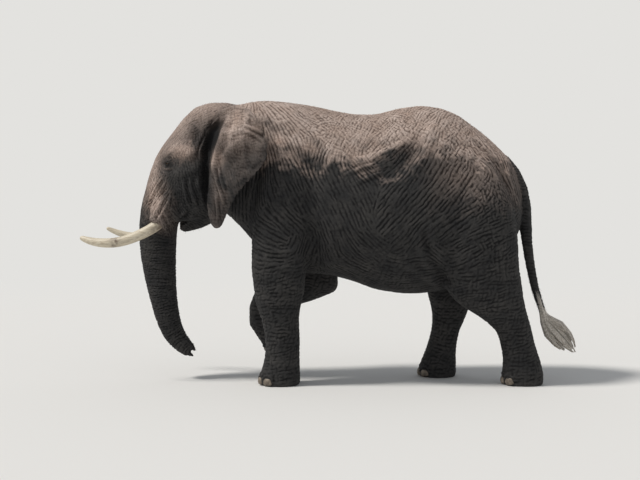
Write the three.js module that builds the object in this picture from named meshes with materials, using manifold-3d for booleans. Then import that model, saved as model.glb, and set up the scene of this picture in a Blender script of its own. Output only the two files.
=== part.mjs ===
// A life-size African bush elephant bull in mid-walk: three feet planted, the right forefoot just lifted,
// head low, trunk hanging and curled back at the tip, tail swung to the rear.
// Frame: millimetres, +Z up, floor at Z = 0. The animal walks towards -X, and its left side faces -Y.
// The flesh is a set of lofts, each a smooth sweep of rounded sections. Neighbours are parted by thin cuts.
import * as THREE from 'three';
import { mergeVertices } from 'three/addons/utils/BufferGeometryUtils.js';
import Module from 'manifold-3d';

const wasm = await Module();
wasm.setup();

// ---------------------------------------------------------------- driving dimensions
const GAP = 0.5; // clearance between neighbouring solids
const LEFT = -1; // sign of Y on the animal's left side
const RIGHT = 1;
const HEAD_YAW = THREE.MathUtils.degToRad(-7); // the head is turned a little to the animal's right
const NECK_PIVOT = new THREE.Vector3(-1150, 0, 2500);
const EYE_RADIUS = 20;
const EAR_THICKNESS = 34;
const TUSK_RADIUS = 64;
const NAIL = { width: 104, height: 100, depth: 36 };
const FRONT_NAIL_ANGLES = [-54, -19, 19, 54]; // degrees round the foot from straight ahead
const HIND_NAIL_ANGLES = [-40, 0, 40];
const NOSTRIL = { radius: 21, spread: 34, depth: 120 };

const HIDE = { color: 0x5d554e, roughness: 0.95, metalness: 0 };
const IVORY = { color: 0xd9cdb4, roughness: 0.45, metalness: 0 };
const HORN = { color: 0x8a7b68, roughness: 0.6, metalness: 0 };
const HAIR = { color: 0x6f675f, roughness: 0.9, metalness: 0 };
const EYE = { color: 0x2a1a10, roughness: 0.15, metalness: 0 };

// ---------------------------------------------------------------- solids from three.js geometry
function solid(geometry) {
  const bare = new THREE.BufferGeometry().setAttribute('position', geometry.getAttribute('position'));
  bare.setIndex(geometry.index);
  const merged = mergeVertices(bare, 1e-3);
  const vertProperties = new Float32Array(merged.attributes.position.array);
  const make = (triVerts) => new wasm.Manifold(new wasm.Mesh({ numProp: 3, vertProperties, triVerts }));
  const faces = Uint32Array.from(merged.index.array);
  const made = make(faces);
  return made.volume() > 0 ? made : make(faces.reverse());
}

function geometryOf(manifold) {
  const { numProp, vertProperties, triVerts } = manifold.getMesh();
  const xyz = vertProperties.filter((_, i) => i % numProp < 3);
  const geometry = new THREE.BufferGeometry();
  geometry.setAttribute('position', new THREE.BufferAttribute(xyz, 3));
  geometry.setIndex(new THREE.BufferAttribute(Uint32Array.from(triVerts), 1));
  geometry.computeVertexNormals();
  return geometry;
}

const union = (parts) => parts.reduce((a, b) => a.add(b));
const largest = (manifold) => manifold.decompose().sort((a, b) => b.volume() - a.volume())[0];

// The two sides of a plane through `point`: [the side `normal` points to, the other side].
function parted(manifold, point, normal) {
  const n = new THREE.Vector3(...normal).normalize();
  const offset = n.dot(new THREE.Vector3(...point));
  return [
    manifold.trimByPlane(n.toArray(), offset + GAP / 2),
    manifold.trimByPlane(n.clone().negate().toArray(), -offset + GAP / 2),
  ];
}

// ---------------------------------------------------------------- lofts
// A station is { at: [x, y, z], front, back, left, right, frontPower, backPower }. `front` and `back` are
// the section's reach along the sweep's normal, and a power of 2 makes that half an ellipse.
// Sections face along `axis`, or along the centre line's own direction where no axis is given.
function loft(stations, { rings, around, axis, dome = [0, 0], grow = 0 }) {
  const smooth = (keys) =>
    new THREE.CatmullRomCurve3(stations.map(keys), false, 'catmullrom', 0.5);
  const centre = smooth((s) => new THREE.Vector3(...s.at));
  const reach = smooth((s) => new THREE.Vector3(s.front, s.back, s.left));
  const shape = smooth((s) => new THREE.Vector3(s.right, s.frontPower ?? 2, s.backPower ?? 2));
  const positions = [];
  const side = new THREE.Vector3(0, LEFT, 0);

  function ring(t, shrink, shift) {
    const along = axis ? new THREE.Vector3(...axis) : centre.getTangent(t);
    const out = side.clone().addScaledVector(along, -side.dot(along)).normalize();
    const up = new THREE.Vector3().crossVectors(along, out);
    const middle = centre.getPoint(t).addScaledVector(along, shift);
    const { x: front, y: back, z: left } = reach.getPoint(t);
    const { x: right, y: frontPower, z: backPower } = shape.getPoint(t);
    for (let i = 0; i < around; i++) {
      const angle = (2 * Math.PI * i) / around;
      const c = Math.cos(angle);
      const s = Math.sin(angle);
      const power = 2 / (c >= 0 ? frontPower : backPower);
      const u = (c >= 0 ? front : back) * shrink + grow;
      const v = (s >= 0 ? left : right) * shrink + grow;
      const point = middle
        .clone()
        .addScaledVector(up, u * Math.sign(c) * Math.abs(c) ** power)
        .addScaledVector(out, v * Math.sign(s) * Math.abs(s) ** power);
      positions.push(...point.toArray());
    }
  }

  const [startDome, endDome] = dome;
  const domeSteps = 2;
  for (let k = domeSteps; k > 0 && startDome; k--) {
    const a = (k / (domeSteps + 0.4)) * (Math.PI / 2);
    ring(0, Math.cos(a), -startDome * Math.sin(a) - grow);
  }
  ring(0, 1, startDome ? 0 : -grow);
  for (let i = 1; i < rings; i++) ring(i / rings, 1, 0);
  ring(1, 1, endDome ? 0 : grow);
  for (let k = 1; k <= domeSteps && endDome; k++) {
    const a = (k / (domeSteps + 0.4)) * (Math.PI / 2);
    ring(1, Math.cos(a), endDome * Math.sin(a) + grow);
  }
  return solid(tubeGeometry(positions, around));
}

// Closes a stack of rings of `around` points each into one skin, with a fan at either end.
function tubeGeometry(positions, around) {
  const count = positions.length / 3 / around;
  const index = [];
  for (let r = 0; r < count - 1; r++) {
    for (let i = 0; i < around; i++) {
      const a = r * around + i;
      const b = r * around + ((i + 1) % around);
      index.push(a, b, a + around, b, b + around, a + around);
    }
  }
  for (const [first, flip] of [[0, true], [(count - 1) * around, false]]) {
    const middle = new THREE.Vector3();
    for (let i = 0; i < around; i++) {
      middle.add(new THREE.Vector3().fromArray(positions, (first + i) * 3));
    }
    const hub = positions.length / 3;
    positions.push(...middle.divideScalar(around).toArray());
    for (let i = 0; i < around; i++) {
      const pair = [first + i, first + ((i + 1) % around)];
      index.push(hub, ...(flip ? pair.reverse() : pair));
    }
  }
  const geometry = new THREE.BufferGeometry();
  geometry.setAttribute('position', new THREE.Float32BufferAttribute(positions, 3));
  geometry.setIndex(index);
  return geometry;
}

// ---------------------------------------------------------------- trunk of the body and neck
// Rump to nape, in upright slices: x, height of the widest line, top, bottom, half width.
const BODY_SLICES = [
  [2168, 1990, 2060, 1920, 60],
  [2140, 1990, 2250, 1700, 200],
  [2060, 1990, 2500, 1560, 320],
  [1940, 1985, 2655, 1440, 415],
  [1780, 1980, 2805, 1310, 510],
  [1590, 1975, 2950, 1170, 590],
  [1360, 1965, 3093, 1060, 655],
  [1070, 1950, 3157, 1005, 705],
  [780, 1930, 3128, 1000, 730],
  [430, 1930, 3047, 1062, 722],
  [110, 1960, 3080, 1190, 678],
  [-200, 2010, 3152, 1225, 605],
  [-490, 2110, 3202, 1265, 520],
  [-720, 2250, 3226, 1400, 450],
  [-950, 2390, 3212, 1640, 382],
  [-1170, 2470, 3150, 1890, 345],
  [-1400, 2480, 3020, 2010, 300],
];

function body(grow = 0) {
  const stations = BODY_SLICES.map(([x, z, top, bottom, half]) => ({
    at: [x, 0, z],
    front: top - z,
    back: z - bottom,
    left: half,
    right: half,
    frontPower: x < -400 ? 2.5 : 2.05,
    backPower: 2.2,
  }));
  return loft(stations, { rings: 20, around: 18, axis: [-1, 0, 0], grow });
}

// ---------------------------------------------------------------- head
// Crown to mouth, in level slices: height, x of the widest line, foremost x, rearmost x, half width.
const HEAD_SLICES = [
  [3196, -1330, -1440, -1180, 105],
  [3150, -1335, -1585, -1040, 235],
  [3040, -1345, -1715, -990, 325],
  [2900, -1370, -1830, -980, 372],
  [2760, -1400, -1945, -990, 385],
  [2640, -1440, -2030, -1020, 396],
  [2500, -1500, -2100, -1080, 420],
  [2350, -1540, -2145, -1130, 412],
  [2200, -1580, -2188, -1190, 392],
  [2050, -1650, -2226, -1260, 364],
  [1930, -1730, -2240, -1380, 332],
  [1850, -1810, -2235, -1500, 290],
];
// Cheek to chin: the lower jaw is a narrow wedge behind the trunk.
const JAW = [
  { at: [-1330, 0, 2120], front: 180, back: 210, left: 250, right: 250 },
  { at: [-1450, 0, 2020], front: 170, back: 205, left: 215, right: 215 },
  { at: [-1560, 0, 1915], front: 150, back: 180, left: 160, right: 160 },
  { at: [-1650, 0, 1830], front: 110, back: 128, left: 110, right: 110 },
  { at: [-1725, 0, 1765], front: 60, back: 68, left: 66, right: 66 },
];
// Root to tip of the trunk.
const TRUNK = [
  { at: [-1880, 0, 2250], front: 235, back: 220, left: 225, right: 225 },
  { at: [-1965, 0, 2050], front: 250, back: 232, left: 232, right: 232 },
  { at: [-2012, 0, 1880], front: 236, back: 222, left: 224, right: 224 },
  { at: [-2030, 0, 1700], front: 228, back: 216, left: 214, right: 214 },
  { at: [-2032, 0, 1500], front: 216, back: 208, left: 200, right: 200 },
  { at: [-2015, 0, 1270], front: 193, back: 190, left: 182, right: 182 },
  { at: [-1992, 0, 1080], front: 174, back: 171, left: 167, right: 167 },
  { at: [-1964, 0, 920], front: 158, back: 154, left: 154, right: 154 },
  { at: [-1926, 0, 740], front: 143, back: 141, left: 140, right: 140 },
  { at: [-1876, 0, 590], front: 130, back: 128, left: 128, right: 128 },
  { at: [-1812, 0, 482], front: 117, back: 114, left: 116, right: 116 },
  { at: [-1742, 0, 406], front: 102, back: 98, left: 104, right: 104 },
  { at: [-1692, 0, 364], front: 90, back: 84, left: 94, right: 94 },
  { at: [-1656, 0, 338], front: 82, back: 76, left: 88, right: 88 },
];

function skull(grow = 0) {
  const stations = HEAD_SLICES.map(([z, x, foremost, rearmost, half]) => ({
    at: [x, 0, z],
    front: x - foremost,
    back: rearmost - x,
    left: half,
    right: half,
    frontPower: 1.75,
    backPower: 2.3,
  }));
  const cranium = loft(stations, { rings: 10, around: 14, axis: [0, 0, -1], grow });
  const jaw = loft(JAW, { rings: 4, around: 8, dome: [0, 50], grow });
  return union([cranium, jaw, ...[LEFT, RIGHT].map((side) => tuskSheath(side, grow))]);
}

// The lip that swells round the root of each tusk.
function tuskSheath(side, grow = 0) {
  const stations = [
    { at: [-1640, side * 175, 2420], front: 150, back: 150, left: 150, right: 150 },
    { at: [-1770, side * 205, 2200], front: 156, back: 150, left: 146, right: 146 },
    { at: [-1870, side * 236, 2020], front: 140, back: 138, left: 130, right: 130 },
    { at: [-1950, side * 262, 1885], front: 115, back: 118, left: 108, right: 108 },
    { at: [-1995, side * 280, 1805], front: 90, back: 92, left: 88, right: 88 },
  ];
  return loft(stations, { rings: 5, around: 8, dome: [80, 20], grow });
}

function trunk(grow = 0) {
  return loft(TRUNK, { rings: 15, around: 12, dome: [60, 14], grow });
}

// The two lips of the trunk's tip, and the nostrils between them. The tip points back and down.
const TIP = new THREE.Vector3(-1656, 0, 338);
const TIP_AHEAD = new THREE.Vector3(36, 0, -26).normalize();
const TIP_FRONT = new THREE.Vector3(TIP_AHEAD.z, 0, -TIP_AHEAD.x);

function tipFinger(sign, reach, width) {
  const base = TIP.clone().addScaledVector(TIP_FRONT, sign * 50).addScaledVector(TIP_AHEAD, -30);
  const top = TIP.clone().addScaledVector(TIP_FRONT, sign * 34).addScaledVector(TIP_AHEAD, reach);
  const stations = [0, 0.5, 1].map((t) => ({
    at: base.clone().lerp(top, t).toArray(),
    front: 30 - 16 * t,
    back: 30 - 16 * t,
    left: width * (1 - 0.55 * t),
    right: width * (1 - 0.55 * t),
  }));
  return loft(stations, { rings: 2, around: 6, dome: [0, 12] });
}

function nostril(side) {
  const { radius, spread, depth } = NOSTRIL;
  const mouth = TIP.clone().addScaledVector(TIP_AHEAD, depth / 2).add(new THREE.Vector3(0, side * spread, 0));
  const end = mouth.clone().addScaledVector(TIP_AHEAD, -depth);
  const oval = { front: radius * 1.3, back: radius * 1.3, left: radius, right: radius };
  const stations = [mouth, end].map((point) => ({ at: point.toArray(), ...oval }));
  return loft(stations, { rings: 1, around: 5 });
}

// ---------------------------------------------------------------- tusks
const TUSKS = {
  left: [
    [-1780, 1985, 205], [-1915, 1840, 262], [-2035, 1748, 315], [-2160, 1682, 362],
    [-2280, 1632, 398], [-2400, 1600, 420], [-2560, 1590, 428], [-2715, 1612, 418], [-2815, 1645, 405],
  ],
  right: [
    [-1780, 1985, 205], [-1915, 1840, 262], [-2035, 1752, 315], [-2160, 1690, 362],
    [-2285, 1648, 396], [-2410, 1634, 416], [-2535, 1646, 424], [-2655, 1682, 420], [-2752, 1724, 410],
  ],
};
const TUSK_TAPER = [0.95, 1, 1, 0.97, 0.94, 0.91, 0.85, 0.7, 0.45];

function tusk(name, grow = 0) {
  const side = name === 'left' ? LEFT : RIGHT;
  const wear = name === 'left' ? 1 : 0.78; // the right tusk is the slimmer and shorter of the two
  const stations = TUSKS[name].map(([x, z, y], i) => {
    const r = TUSK_RADIUS * TUSK_TAPER[i] * wear;
    return { at: [x, side * y, z], front: r, back: r, left: r * 0.94, right: r * 0.94 };
  });
  return loft(stations, { rings: 10, around: 8, dome: [0, 26], grow });
}

// ---------------------------------------------------------------- eyes
const EYE_AT = [-1840, 308, 2492];

function eye(side, grow = 0) {
  const ball = new THREE.SphereGeometry(EYE_RADIUS + grow, 7, 4);
  ball.translate(EYE_AT[0], side * EYE_AT[1], EYE_AT[2]);
  return solid(ball);
}

// ---------------------------------------------------------------- ears
// The ear's outline, from its top down to the lobe: height, foremost x, rearmost x.
const EAR_ROWS = [
  [3146, -1110, -1010], [3105, -1232, -880], [3010, -1335, -772], [2880, -1412, -700], [2730, -1462, -640],
  [2590, -1440, -624], [2460, -1375, -672], [2340, -1350, -780], [2220, -1345, -912], [2100, -1348, -1020],
  [1980, -1350, -1088], [1870, -1336, -1146], [1795, -1302, -1186], [1768, -1268, -1220],
];
const EAR_DROP = { [LEFT]: 1, [RIGHT]: 0.88 }; // the right ear is held a little higher than the left
const EAR_WAIST = 2600; // height below which the ear narrows towards its lobe

// How far out of the middle plane the ear stands at (x, z). The upper front edge is let into the head,
// the lobe's front edge hangs free, and the flap swings out towards its rear edge.
function earStandOff(x, z) {
  const { smoothstep, clamp, lerp } = THREE.MathUtils;
  const crown = smoothstep(z, 2800, 3150);
  const free = smoothstep(2620 - z, 100, 300);
  const lobe = smoothstep(2300 - z, 0, 550);
  const root = 330 - 90 * crown + 90 * free - 10 * lobe;
  const rim = 700 - 90 * crown - 170 * lobe;
  const outward = clamp((x - lerp(-1450, -1210, crown)) / 760, 0, 1);
  const ripple = 16 * Math.sin(x / 75 + z / 130) * outward;
  return lerp(root, rim, 1 - (1 - outward) ** 1.8) + ripple;
}

function ear(side) {
  const keys = EAR_ROWS.map((row) => new THREE.Vector3(...row));
  const outline = new THREE.CatmullRomCurve3(keys, false, 'catmullrom', 0.5);
  const rows = 12;
  const columns = 6;
  const positions = [];
  for (let r = 0; r <= rows; r++) {
    const { x: z, y: foremost, z: rearmost } = outline.getPoint(r / rows);
    const drop = z < EAR_WAIST ? EAR_WAIST - (EAR_WAIST - z) * EAR_DROP[side] : z;
    const inner = [];
    for (let c = 0; c <= columns; c++) {
      const across = c / columns;
      const x = THREE.MathUtils.lerp(foremost, rearmost, across);
      const fullness = Math.min(1, Math.min(across, 1 - across) * 5);
      const half = (EAR_THICKNESS / 2) * (0.35 + 0.65 * Math.sqrt(fullness));
      const y = earStandOff(x, z);
      positions.push(x, side * (y + half), drop);
      inner.unshift(x, side * (y - half), drop);
    }
    positions.push(...inner);
  }
  return solid(tubeGeometry(positions, 2 * (columns + 1)));
}

// ---------------------------------------------------------------- legs
// Each planted leg in level slices, from the shoulder or hip down to the sole: height, foremost x,
// rearmost x, how far its centre line is from the middle plane, reach outwards, reach inwards.
const LEG_SLICES = {
  front_left: [
    [2720, -740, -150, 290, 205, 200], [2420, -840, -80, 320, 255, 210], [2080, -888, -95, 336, 282, 222],
    [1750, -912, -190, 346, 274, 226], [1450, -920, -268, 356, 254, 226], [1200, -912, -312, 356, 236, 208],
    [1000, -872, -338, 346, 218, 198], [800, -816, -372, 335, 202, 190], [600, -776, -366, 326, 196, 186],
    [450, -760, -370, 316, 188, 182], [300, -768, -376, 308, 194, 188], [150, -802, -370, 303, 214, 205],
    [60, -830, -368, 300, 228, 220], [0, -822, -376, 300, 220, 212],
  ],
  hind_left: [
    [2420, 1130, 1880, 260, 290, 190], [2120, 1050, 2010, 305, 340, 235], [1820, 1035, 2085, 330, 342, 265],
    [1550, 1075, 2085, 344, 326, 268], [1300, 1160, 2105, 352, 302, 256], [1110, 1255, 2140, 356, 278, 242],
    [950, 1390, 2165, 356, 252, 230], [820, 1560, 2188, 356, 226, 215], [700, 1752, 2207, 346, 200, 195],
    [600, 1846, 2232, 336, 180, 176], [480, 1886, 2270, 326, 173, 170], [340, 1915, 2322, 316, 178, 172],
    [200, 1925, 2364, 308, 190, 182], [70, 1916, 2384, 302, 199, 191], [0, 1926, 2374, 300, 191, 183],
  ],
  hind_right: [
    [2420, 1110, 1860, 260, 290, 190], [2120, 1010, 1980, 305, 340, 235], [1820, 980, 2020, 330, 342, 265],
    [1550, 1000, 1960, 344, 322, 265], [1300, 1055, 1865, 352, 296, 254], [1110, 1110, 1775, 354, 270, 240],
    [950, 1150, 1700, 352, 246, 226], [800, 1178, 1622, 352, 214, 205], [700, 1184, 1566, 344, 190, 185],
    [580, 1178, 1510, 334, 171, 168], [450, 1150, 1482, 324, 167, 164], [330, 1108, 1464, 315, 172, 167],
    [200, 1060, 1456, 308, 184, 177], [70, 1022, 1462, 302, 195, 188], [0, 1032, 1452, 300, 187, 180],
  ],
};

function limbStation(side, x, y, z, front, back, out, inward, power = 2.15) {
  const [left, right] = side === LEFT ? [out, inward] : [inward, out];
  return { at: [x, side * y, z], front, back, left, right, frontPower: power, backPower: power };
}

function plantedLeg(name, grow = 0) {
  const side = name.endsWith('left') ? LEFT : RIGHT;
  const stations = LEG_SLICES[name].map(([z, foremost, rearmost, y, out, inward]) => {
    const half = (rearmost - foremost) / 2;
    return limbStation(side, foremost + half, y, z, half, half, out, inward);
  });
  return loft(stations, { rings: 11, around: 12, axis: [0, 0, -1], dome: [120, 0], grow });
}

// The lifted right foreleg: the elbow is drawn back, the forearm swings forwards and the foot hangs.
// Its stations are x, distance from the middle plane, z, then reach to the front, back, outside and inside.
const UPPER_ARM = [
  [-445, 290, 2720, 300, 290, 205, 200], [-450, 320, 2420, 370, 370, 255, 210],
  [-440, 338, 2080, 380, 370, 282, 222], [-385, 354, 1780, 340, 310, 272, 226],
  [-285, 372, 1510, 300, 275, 250, 226], [-165, 388, 1310, 260, 240, 226, 210],
  [-95, 396, 1185, 215, 200, 204, 194],
];
const FOREARM = [
  [-20, 396, 1170, 190, 190, 200, 194], [-262, 392, 1098, 218, 218, 212, 204],
  [-530, 380, 992, 200, 195, 200, 192], [-730, 366, 885, 182, 176, 186, 178],
  [-822, 360, 815, 172, 165, 180, 172],
];
const LIFTED_FOOT = [
  [-862, 364, 850, 120, 150, 168, 160], [-838, 360, 715, 172, 172, 186, 178],
  [-765, 356, 600, 182, 182, 188, 182], [-668, 352, 500, 205, 200, 206, 198],
  [-612, 350, 447, 226, 222, 224, 216], [-585, 350, 422, 216, 212, 214, 206],
];
const limb = (rows) => rows.map(([x, y, z, ...reach]) => limbStation(RIGHT, x, y, z, ...reach));
const upperArm = (grow = 0) => loft(limb(UPPER_ARM), { rings: 6, around: 12, dome: [120, 70], grow });
const forearm = (grow = 0) => loft(limb(FOREARM), { rings: 4, around: 10, dome: [60, 60], grow });
const liftedFoot = (grow = 0) => loft(limb(LIFTED_FOOT), { rings: 4, around: 12, dome: [40, 0], grow });

// ---------------------------------------------------------------- tail
const TAIL = [
  [1850, 2600, 80, 70], [1960, 2490, 118, 92], [2075, 2335, 122, 92], [2168, 2150, 106, 82],
  [2212, 1950, 88, 70], [2232, 1750, 72, 60], [2250, 1550, 62, 53], [2284, 1330, 55, 47],
  [2322, 1130, 50, 42], [2362, 980, 46, 38], [2412, 835, 42, 34], [2452, 715, 37, 30],
];
// The hair brush at its end, as one flat wedge: x, z, half depth in the swing plane, half thickness.
const BRUSH = [
  [2452, 715, 42, 36], [2500, 640, 105, 52], [2570, 545, 140, 60], [2650, 460, 140, 56],
  [2730, 385, 104, 44], [2800, 325, 40, 22],
];
const strand = (rows) =>
  rows.map(([x, z, depth, half]) => ({ at: [x, 0, z], front: depth, back: depth, left: half, right: half }));
const tail = (grow = 0) => loft(strand(TAIL), { rings: 12, around: 6, dome: [60, 0], grow });
const brush = () => loft(strand(BRUSH), { rings: 7, around: 8, dome: [0, 18] });

// ---------------------------------------------------------------- toenails
// A nail is a flattened ball let into the rim of the foot, just above the sole.
function nail(centre, down, ahead, radiusAhead, radiusAside, angle, grow = 0) {
  const a = THREE.MathUtils.degToRad(angle);
  const aside = new THREE.Vector3().crossVectors(down, ahead);
  const direction = ahead.clone().multiplyScalar(Math.cos(a)).addScaledVector(aside, Math.sin(a)).normalize();
  const across = new THREE.Vector3().crossVectors(down, direction);
  const shape = new THREE.SphereGeometry(1, 6, 4);
  shape.scale(NAIL.depth + grow, NAIL.width / 2 + grow, NAIL.height / 2 + grow);
  const spot = centre
    .clone()
    .addScaledVector(down, -NAIL.height * 0.62)
    .addScaledVector(ahead, Math.cos(a) * (radiusAhead - 8))
    .addScaledVector(aside, Math.sin(a) * (radiusAside - 8));
  shape.applyMatrix4(new THREE.Matrix4().makeBasis(direction, across, down.clone()).setPosition(spot));
  return solid(shape);
}

const FLOORWARD = new THREE.Vector3(0, 0, -1);
const FORWARD = new THREE.Vector3(-1, 0, 0);
const HANG = new THREE.Vector3(0.72, 0, -0.694).normalize(); // the way the lifted foot's sole faces
const HANG_AHEAD = new THREE.Vector3(HANG.z, 0, -HANG.x);
const SOLE_SIDE = 304; // how far each planted sole's middle is from the middle plane
const FEET = {
  front_left: {
    sole: [-599, LEFT * SOLE_SIDE, 0],
    down: FLOORWARD,
    ahead: FORWARD,
    reach: [232, 224],
    angles: FRONT_NAIL_ANGLES,
  },
  front_right: {
    sole: [-585, 354, 422],
    down: HANG,
    ahead: HANG_AHEAD,
    reach: [225, 218],
    angles: FRONT_NAIL_ANGLES,
  },
  hind_left: {
    sole: [2150, LEFT * SOLE_SIDE, 0],
    down: FLOORWARD,
    ahead: FORWARD,
    reach: [236, 196],
    angles: HIND_NAIL_ANGLES,
  },
  hind_right: {
    sole: [1242, RIGHT * SOLE_SIDE, 0],
    down: FLOORWARD,
    ahead: FORWARD,
    reach: [222, 192],
    angles: HIND_NAIL_ANGLES,
  },
};

function nails(name, grow = 0) {
  const { sole, down, ahead, reach, angles } = FEET[name];
  return angles.map((angle) => nail(new THREE.Vector3(...sole), down, ahead, ...reach, angle, grow));
}

// ---------------------------------------------------------------- assembly
const nodes = {}; // name: [solid, material]

function add(name, manifold, look = HIDE) {
  nodes[name] = [manifold, look];
}

// The head and all it carries are shaped straight ahead, then turned about the neck.
const turnMatrix = new THREE.Matrix4()
  .makeTranslation(NECK_PIVOT)
  .multiply(new THREE.Matrix4().makeRotationZ(HEAD_YAW))
  .multiply(new THREE.Matrix4().makeTranslation(NECK_PIVOT.clone().negate()));
const turned = (manifold) => manifold.transform(turnMatrix.toArray());

const legs = ['front_left', 'hind_left', 'hind_right'];
let torso = body();
for (const name of legs) torso = torso.subtract(plantedLeg(name, GAP));
torso = torso.subtract(upperArm(GAP)).subtract(tail(GAP)).subtract(forearm(GAP));

const fingers = [tipFinger(1, 62, 52), tipFinger(-1, 46, 44)];
let face = turned(
  union([skull(), trunk(), ...fingers]).subtract(union([LEFT, RIGHT].map(nostril))),
);
const fleshGrown = union([turned(union([skull(GAP), trunk(GAP)])), body(GAP)]);
for (const [name, side] of [['left', LEFT], ['right', RIGHT]]) {
  add(`ear_${name}`, largest(turned(ear(side)).subtract(fleshGrown)));
  add(`tusk_${name}`, turned(tusk(name)), IVORY);
  add(`eye_${name}`, turned(eye(side)), EYE);
  face = face.subtract(turned(tusk(name, GAP))).subtract(turned(eye(side, GAP)));
}

const joined = face.add(torso);
const [ahead, trunkOfBody] = parted(joined, [-860, 0, 2500], [-1, 0, 0.12]);
const [headAndTrunk, neck] = parted(ahead, [-1165, 0, 2500], [-1, HEAD_YAW, 0.06]);
const [head, trunkWhole] = parted(headAndTrunk, [-2000, 0, 1700], [0.5, 0, 1]);
const [trunkUpper, trunkRest] = parted(trunkWhole, [-2000, 0, 1220], [0, 0, 1]);
const [trunkMiddle, trunkTip] = parted(trunkRest, [-1900, 0, 690], [-0.35, 0, 1]);
add('torso', largest(trunkOfBody));
add('neck', largest(neck));
add('head', largest(head));
add('trunk_upper', largest(trunkUpper));
add('trunk_middle', largest(trunkMiddle));
add('trunk_tip', largest(trunkTip));

const KNEE_HEIGHT = { front_left: 1020, hind_left: 930, hind_right: 940 };
const ANKLE_HEIGHT = 330;
for (const name of legs) {
  const [upper, rest] = parted(plantedLeg(name), [0, 0, KNEE_HEIGHT[name]], [0, 0, 1]);
  const [lower, foot] = parted(rest, [0, 0, ANKLE_HEIGHT], [0, 0, 1]);
  add(`leg_${name}_upper`, upper);
  add(`leg_${name}_lower`, lower);
  add(`leg_${name}_foot`, foot.subtract(union(nails(name, GAP))));
}
add('leg_front_right_upper', upperArm());
add('leg_front_right_lower', largest(forearm().subtract(upperArm(GAP))));
add(
  'leg_front_right_foot',
  largest(liftedFoot().subtract(forearm(GAP)).subtract(union(nails('front_right', GAP)))),
);
for (const name of Object.keys(FEET)) {
  nails(name).forEach((made, i) => add(`nail_${name}_${i + 1}`, made, HORN));
}

const [tailUpper, tailLower] = parted(tail(), [2250, 0, 1560], [0, 0, 1]);
add('tail_upper', tailUpper);
add('tail_lower', tailLower);
add('tail_brush', largest(brush().subtract(tail(GAP))), HAIR);

const elephant = new THREE.Group();
elephant.name = 'elephant';
for (const [name, [manifold, look]] of Object.entries(nodes)) {
  const mesh = new THREE.Mesh(geometryOf(manifold), new THREE.MeshStandardMaterial(look));
  mesh.name = name;
  elephant.add(mesh);
}

// The origin is on the floor, under the middle of the bounding box.
const middle = new THREE.Box3().setFromObject(elephant).getCenter(new THREE.Vector3());
elephant.position.set(-middle.x, -middle.y, 0);

export default elephant;
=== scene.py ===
# %% [markdown]
# # An African bush elephant bull, walking
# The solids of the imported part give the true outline. They are faceted and parted by thin cuts, as
# blocks of clay would be. This lesson melts the blocks of flesh into one skin, models the head, the
# joints and the wrinkles on it, and gives it the dusty hide, ivory, horn and hair of the animal.
# Everything is in metres: the animal walks towards -X, its left side faces -Y and the floor is at Z = 0.

# %% Load the frame
import math
import time

import bmesh
import bpy
import numpy as np
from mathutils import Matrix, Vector
from mathutils.kdtree import KDTree
from mathutils.bvhtree import BVHTree


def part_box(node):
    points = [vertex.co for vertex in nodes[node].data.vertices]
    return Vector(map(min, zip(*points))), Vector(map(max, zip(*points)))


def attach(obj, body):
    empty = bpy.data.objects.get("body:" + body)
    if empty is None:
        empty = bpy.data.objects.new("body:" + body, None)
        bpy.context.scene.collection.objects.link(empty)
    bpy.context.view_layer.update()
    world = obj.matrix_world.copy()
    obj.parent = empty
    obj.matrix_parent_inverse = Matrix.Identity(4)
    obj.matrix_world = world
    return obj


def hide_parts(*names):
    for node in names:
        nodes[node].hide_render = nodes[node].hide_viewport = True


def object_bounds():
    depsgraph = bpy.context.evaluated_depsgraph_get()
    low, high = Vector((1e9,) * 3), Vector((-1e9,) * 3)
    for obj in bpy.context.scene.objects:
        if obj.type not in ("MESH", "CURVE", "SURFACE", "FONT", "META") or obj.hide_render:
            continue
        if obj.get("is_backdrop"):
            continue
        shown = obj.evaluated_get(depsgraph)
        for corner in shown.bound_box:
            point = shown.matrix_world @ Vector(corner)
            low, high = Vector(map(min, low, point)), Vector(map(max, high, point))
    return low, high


started = time.time()
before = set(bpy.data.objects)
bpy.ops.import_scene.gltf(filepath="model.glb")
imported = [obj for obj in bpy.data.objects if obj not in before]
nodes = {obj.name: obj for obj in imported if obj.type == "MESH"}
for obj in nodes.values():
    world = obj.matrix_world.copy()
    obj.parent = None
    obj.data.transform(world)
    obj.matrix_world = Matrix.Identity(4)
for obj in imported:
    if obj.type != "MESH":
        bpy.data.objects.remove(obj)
cad_box = [list(corner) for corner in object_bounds()]
scene = bpy.context.scene
MM = 0.001
LEFT, RIGHT = -1, 1
print("solids:", len(nodes), "box:", cad_box)


# %% [markdown]
# ## Helpers
# A node material is a small graph, so one helper adds a node with its settings and its links. Colours
# are written as sRGB hex, the way a paint chart gives them, and are turned to the linear values that
# the renderer works in. Meshes are made straight from arrays of points.

# %% Helpers for colours and nodes
def linear(hex_colour):
    """The renderer's linear colour for an sRGB hex value."""
    channels = [int(hex_colour[i:i + 2], 16) / 255 for i in (1, 3, 5)]
    return [c / 12.92 if c <= 0.04045 else ((c + 0.055) / 1.055) ** 2.4 for c in channels] + [1.0]


def set_inputs(material, node, inputs):
    """Each input may be a value, a colour or another node's output."""
    for name, value in inputs.items():
        socket = node.inputs[name]
        if isinstance(value, bpy.types.NodeSocket):
            material.node_tree.links.new(value, socket)
        else:
            socket.default_value = value


def add_node(material, kind, inputs=None, output=0, **settings):
    """Adds a node with its settings and links, and gives one of its outputs, by number or name."""
    node = material.node_tree.nodes.new("ShaderNode" + kind)
    for name, value in settings.items():
        setattr(node, name, value)
    set_inputs(material, node, inputs or {})
    return node.outputs[output]


def new_material(name):
    material = bpy.data.materials.new(name)
    material.use_nodes = True
    return material, material.node_tree.nodes["Principled BSDF"]


print("mid grey in linear light:", round(linear("#808080")[0], 3))


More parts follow.
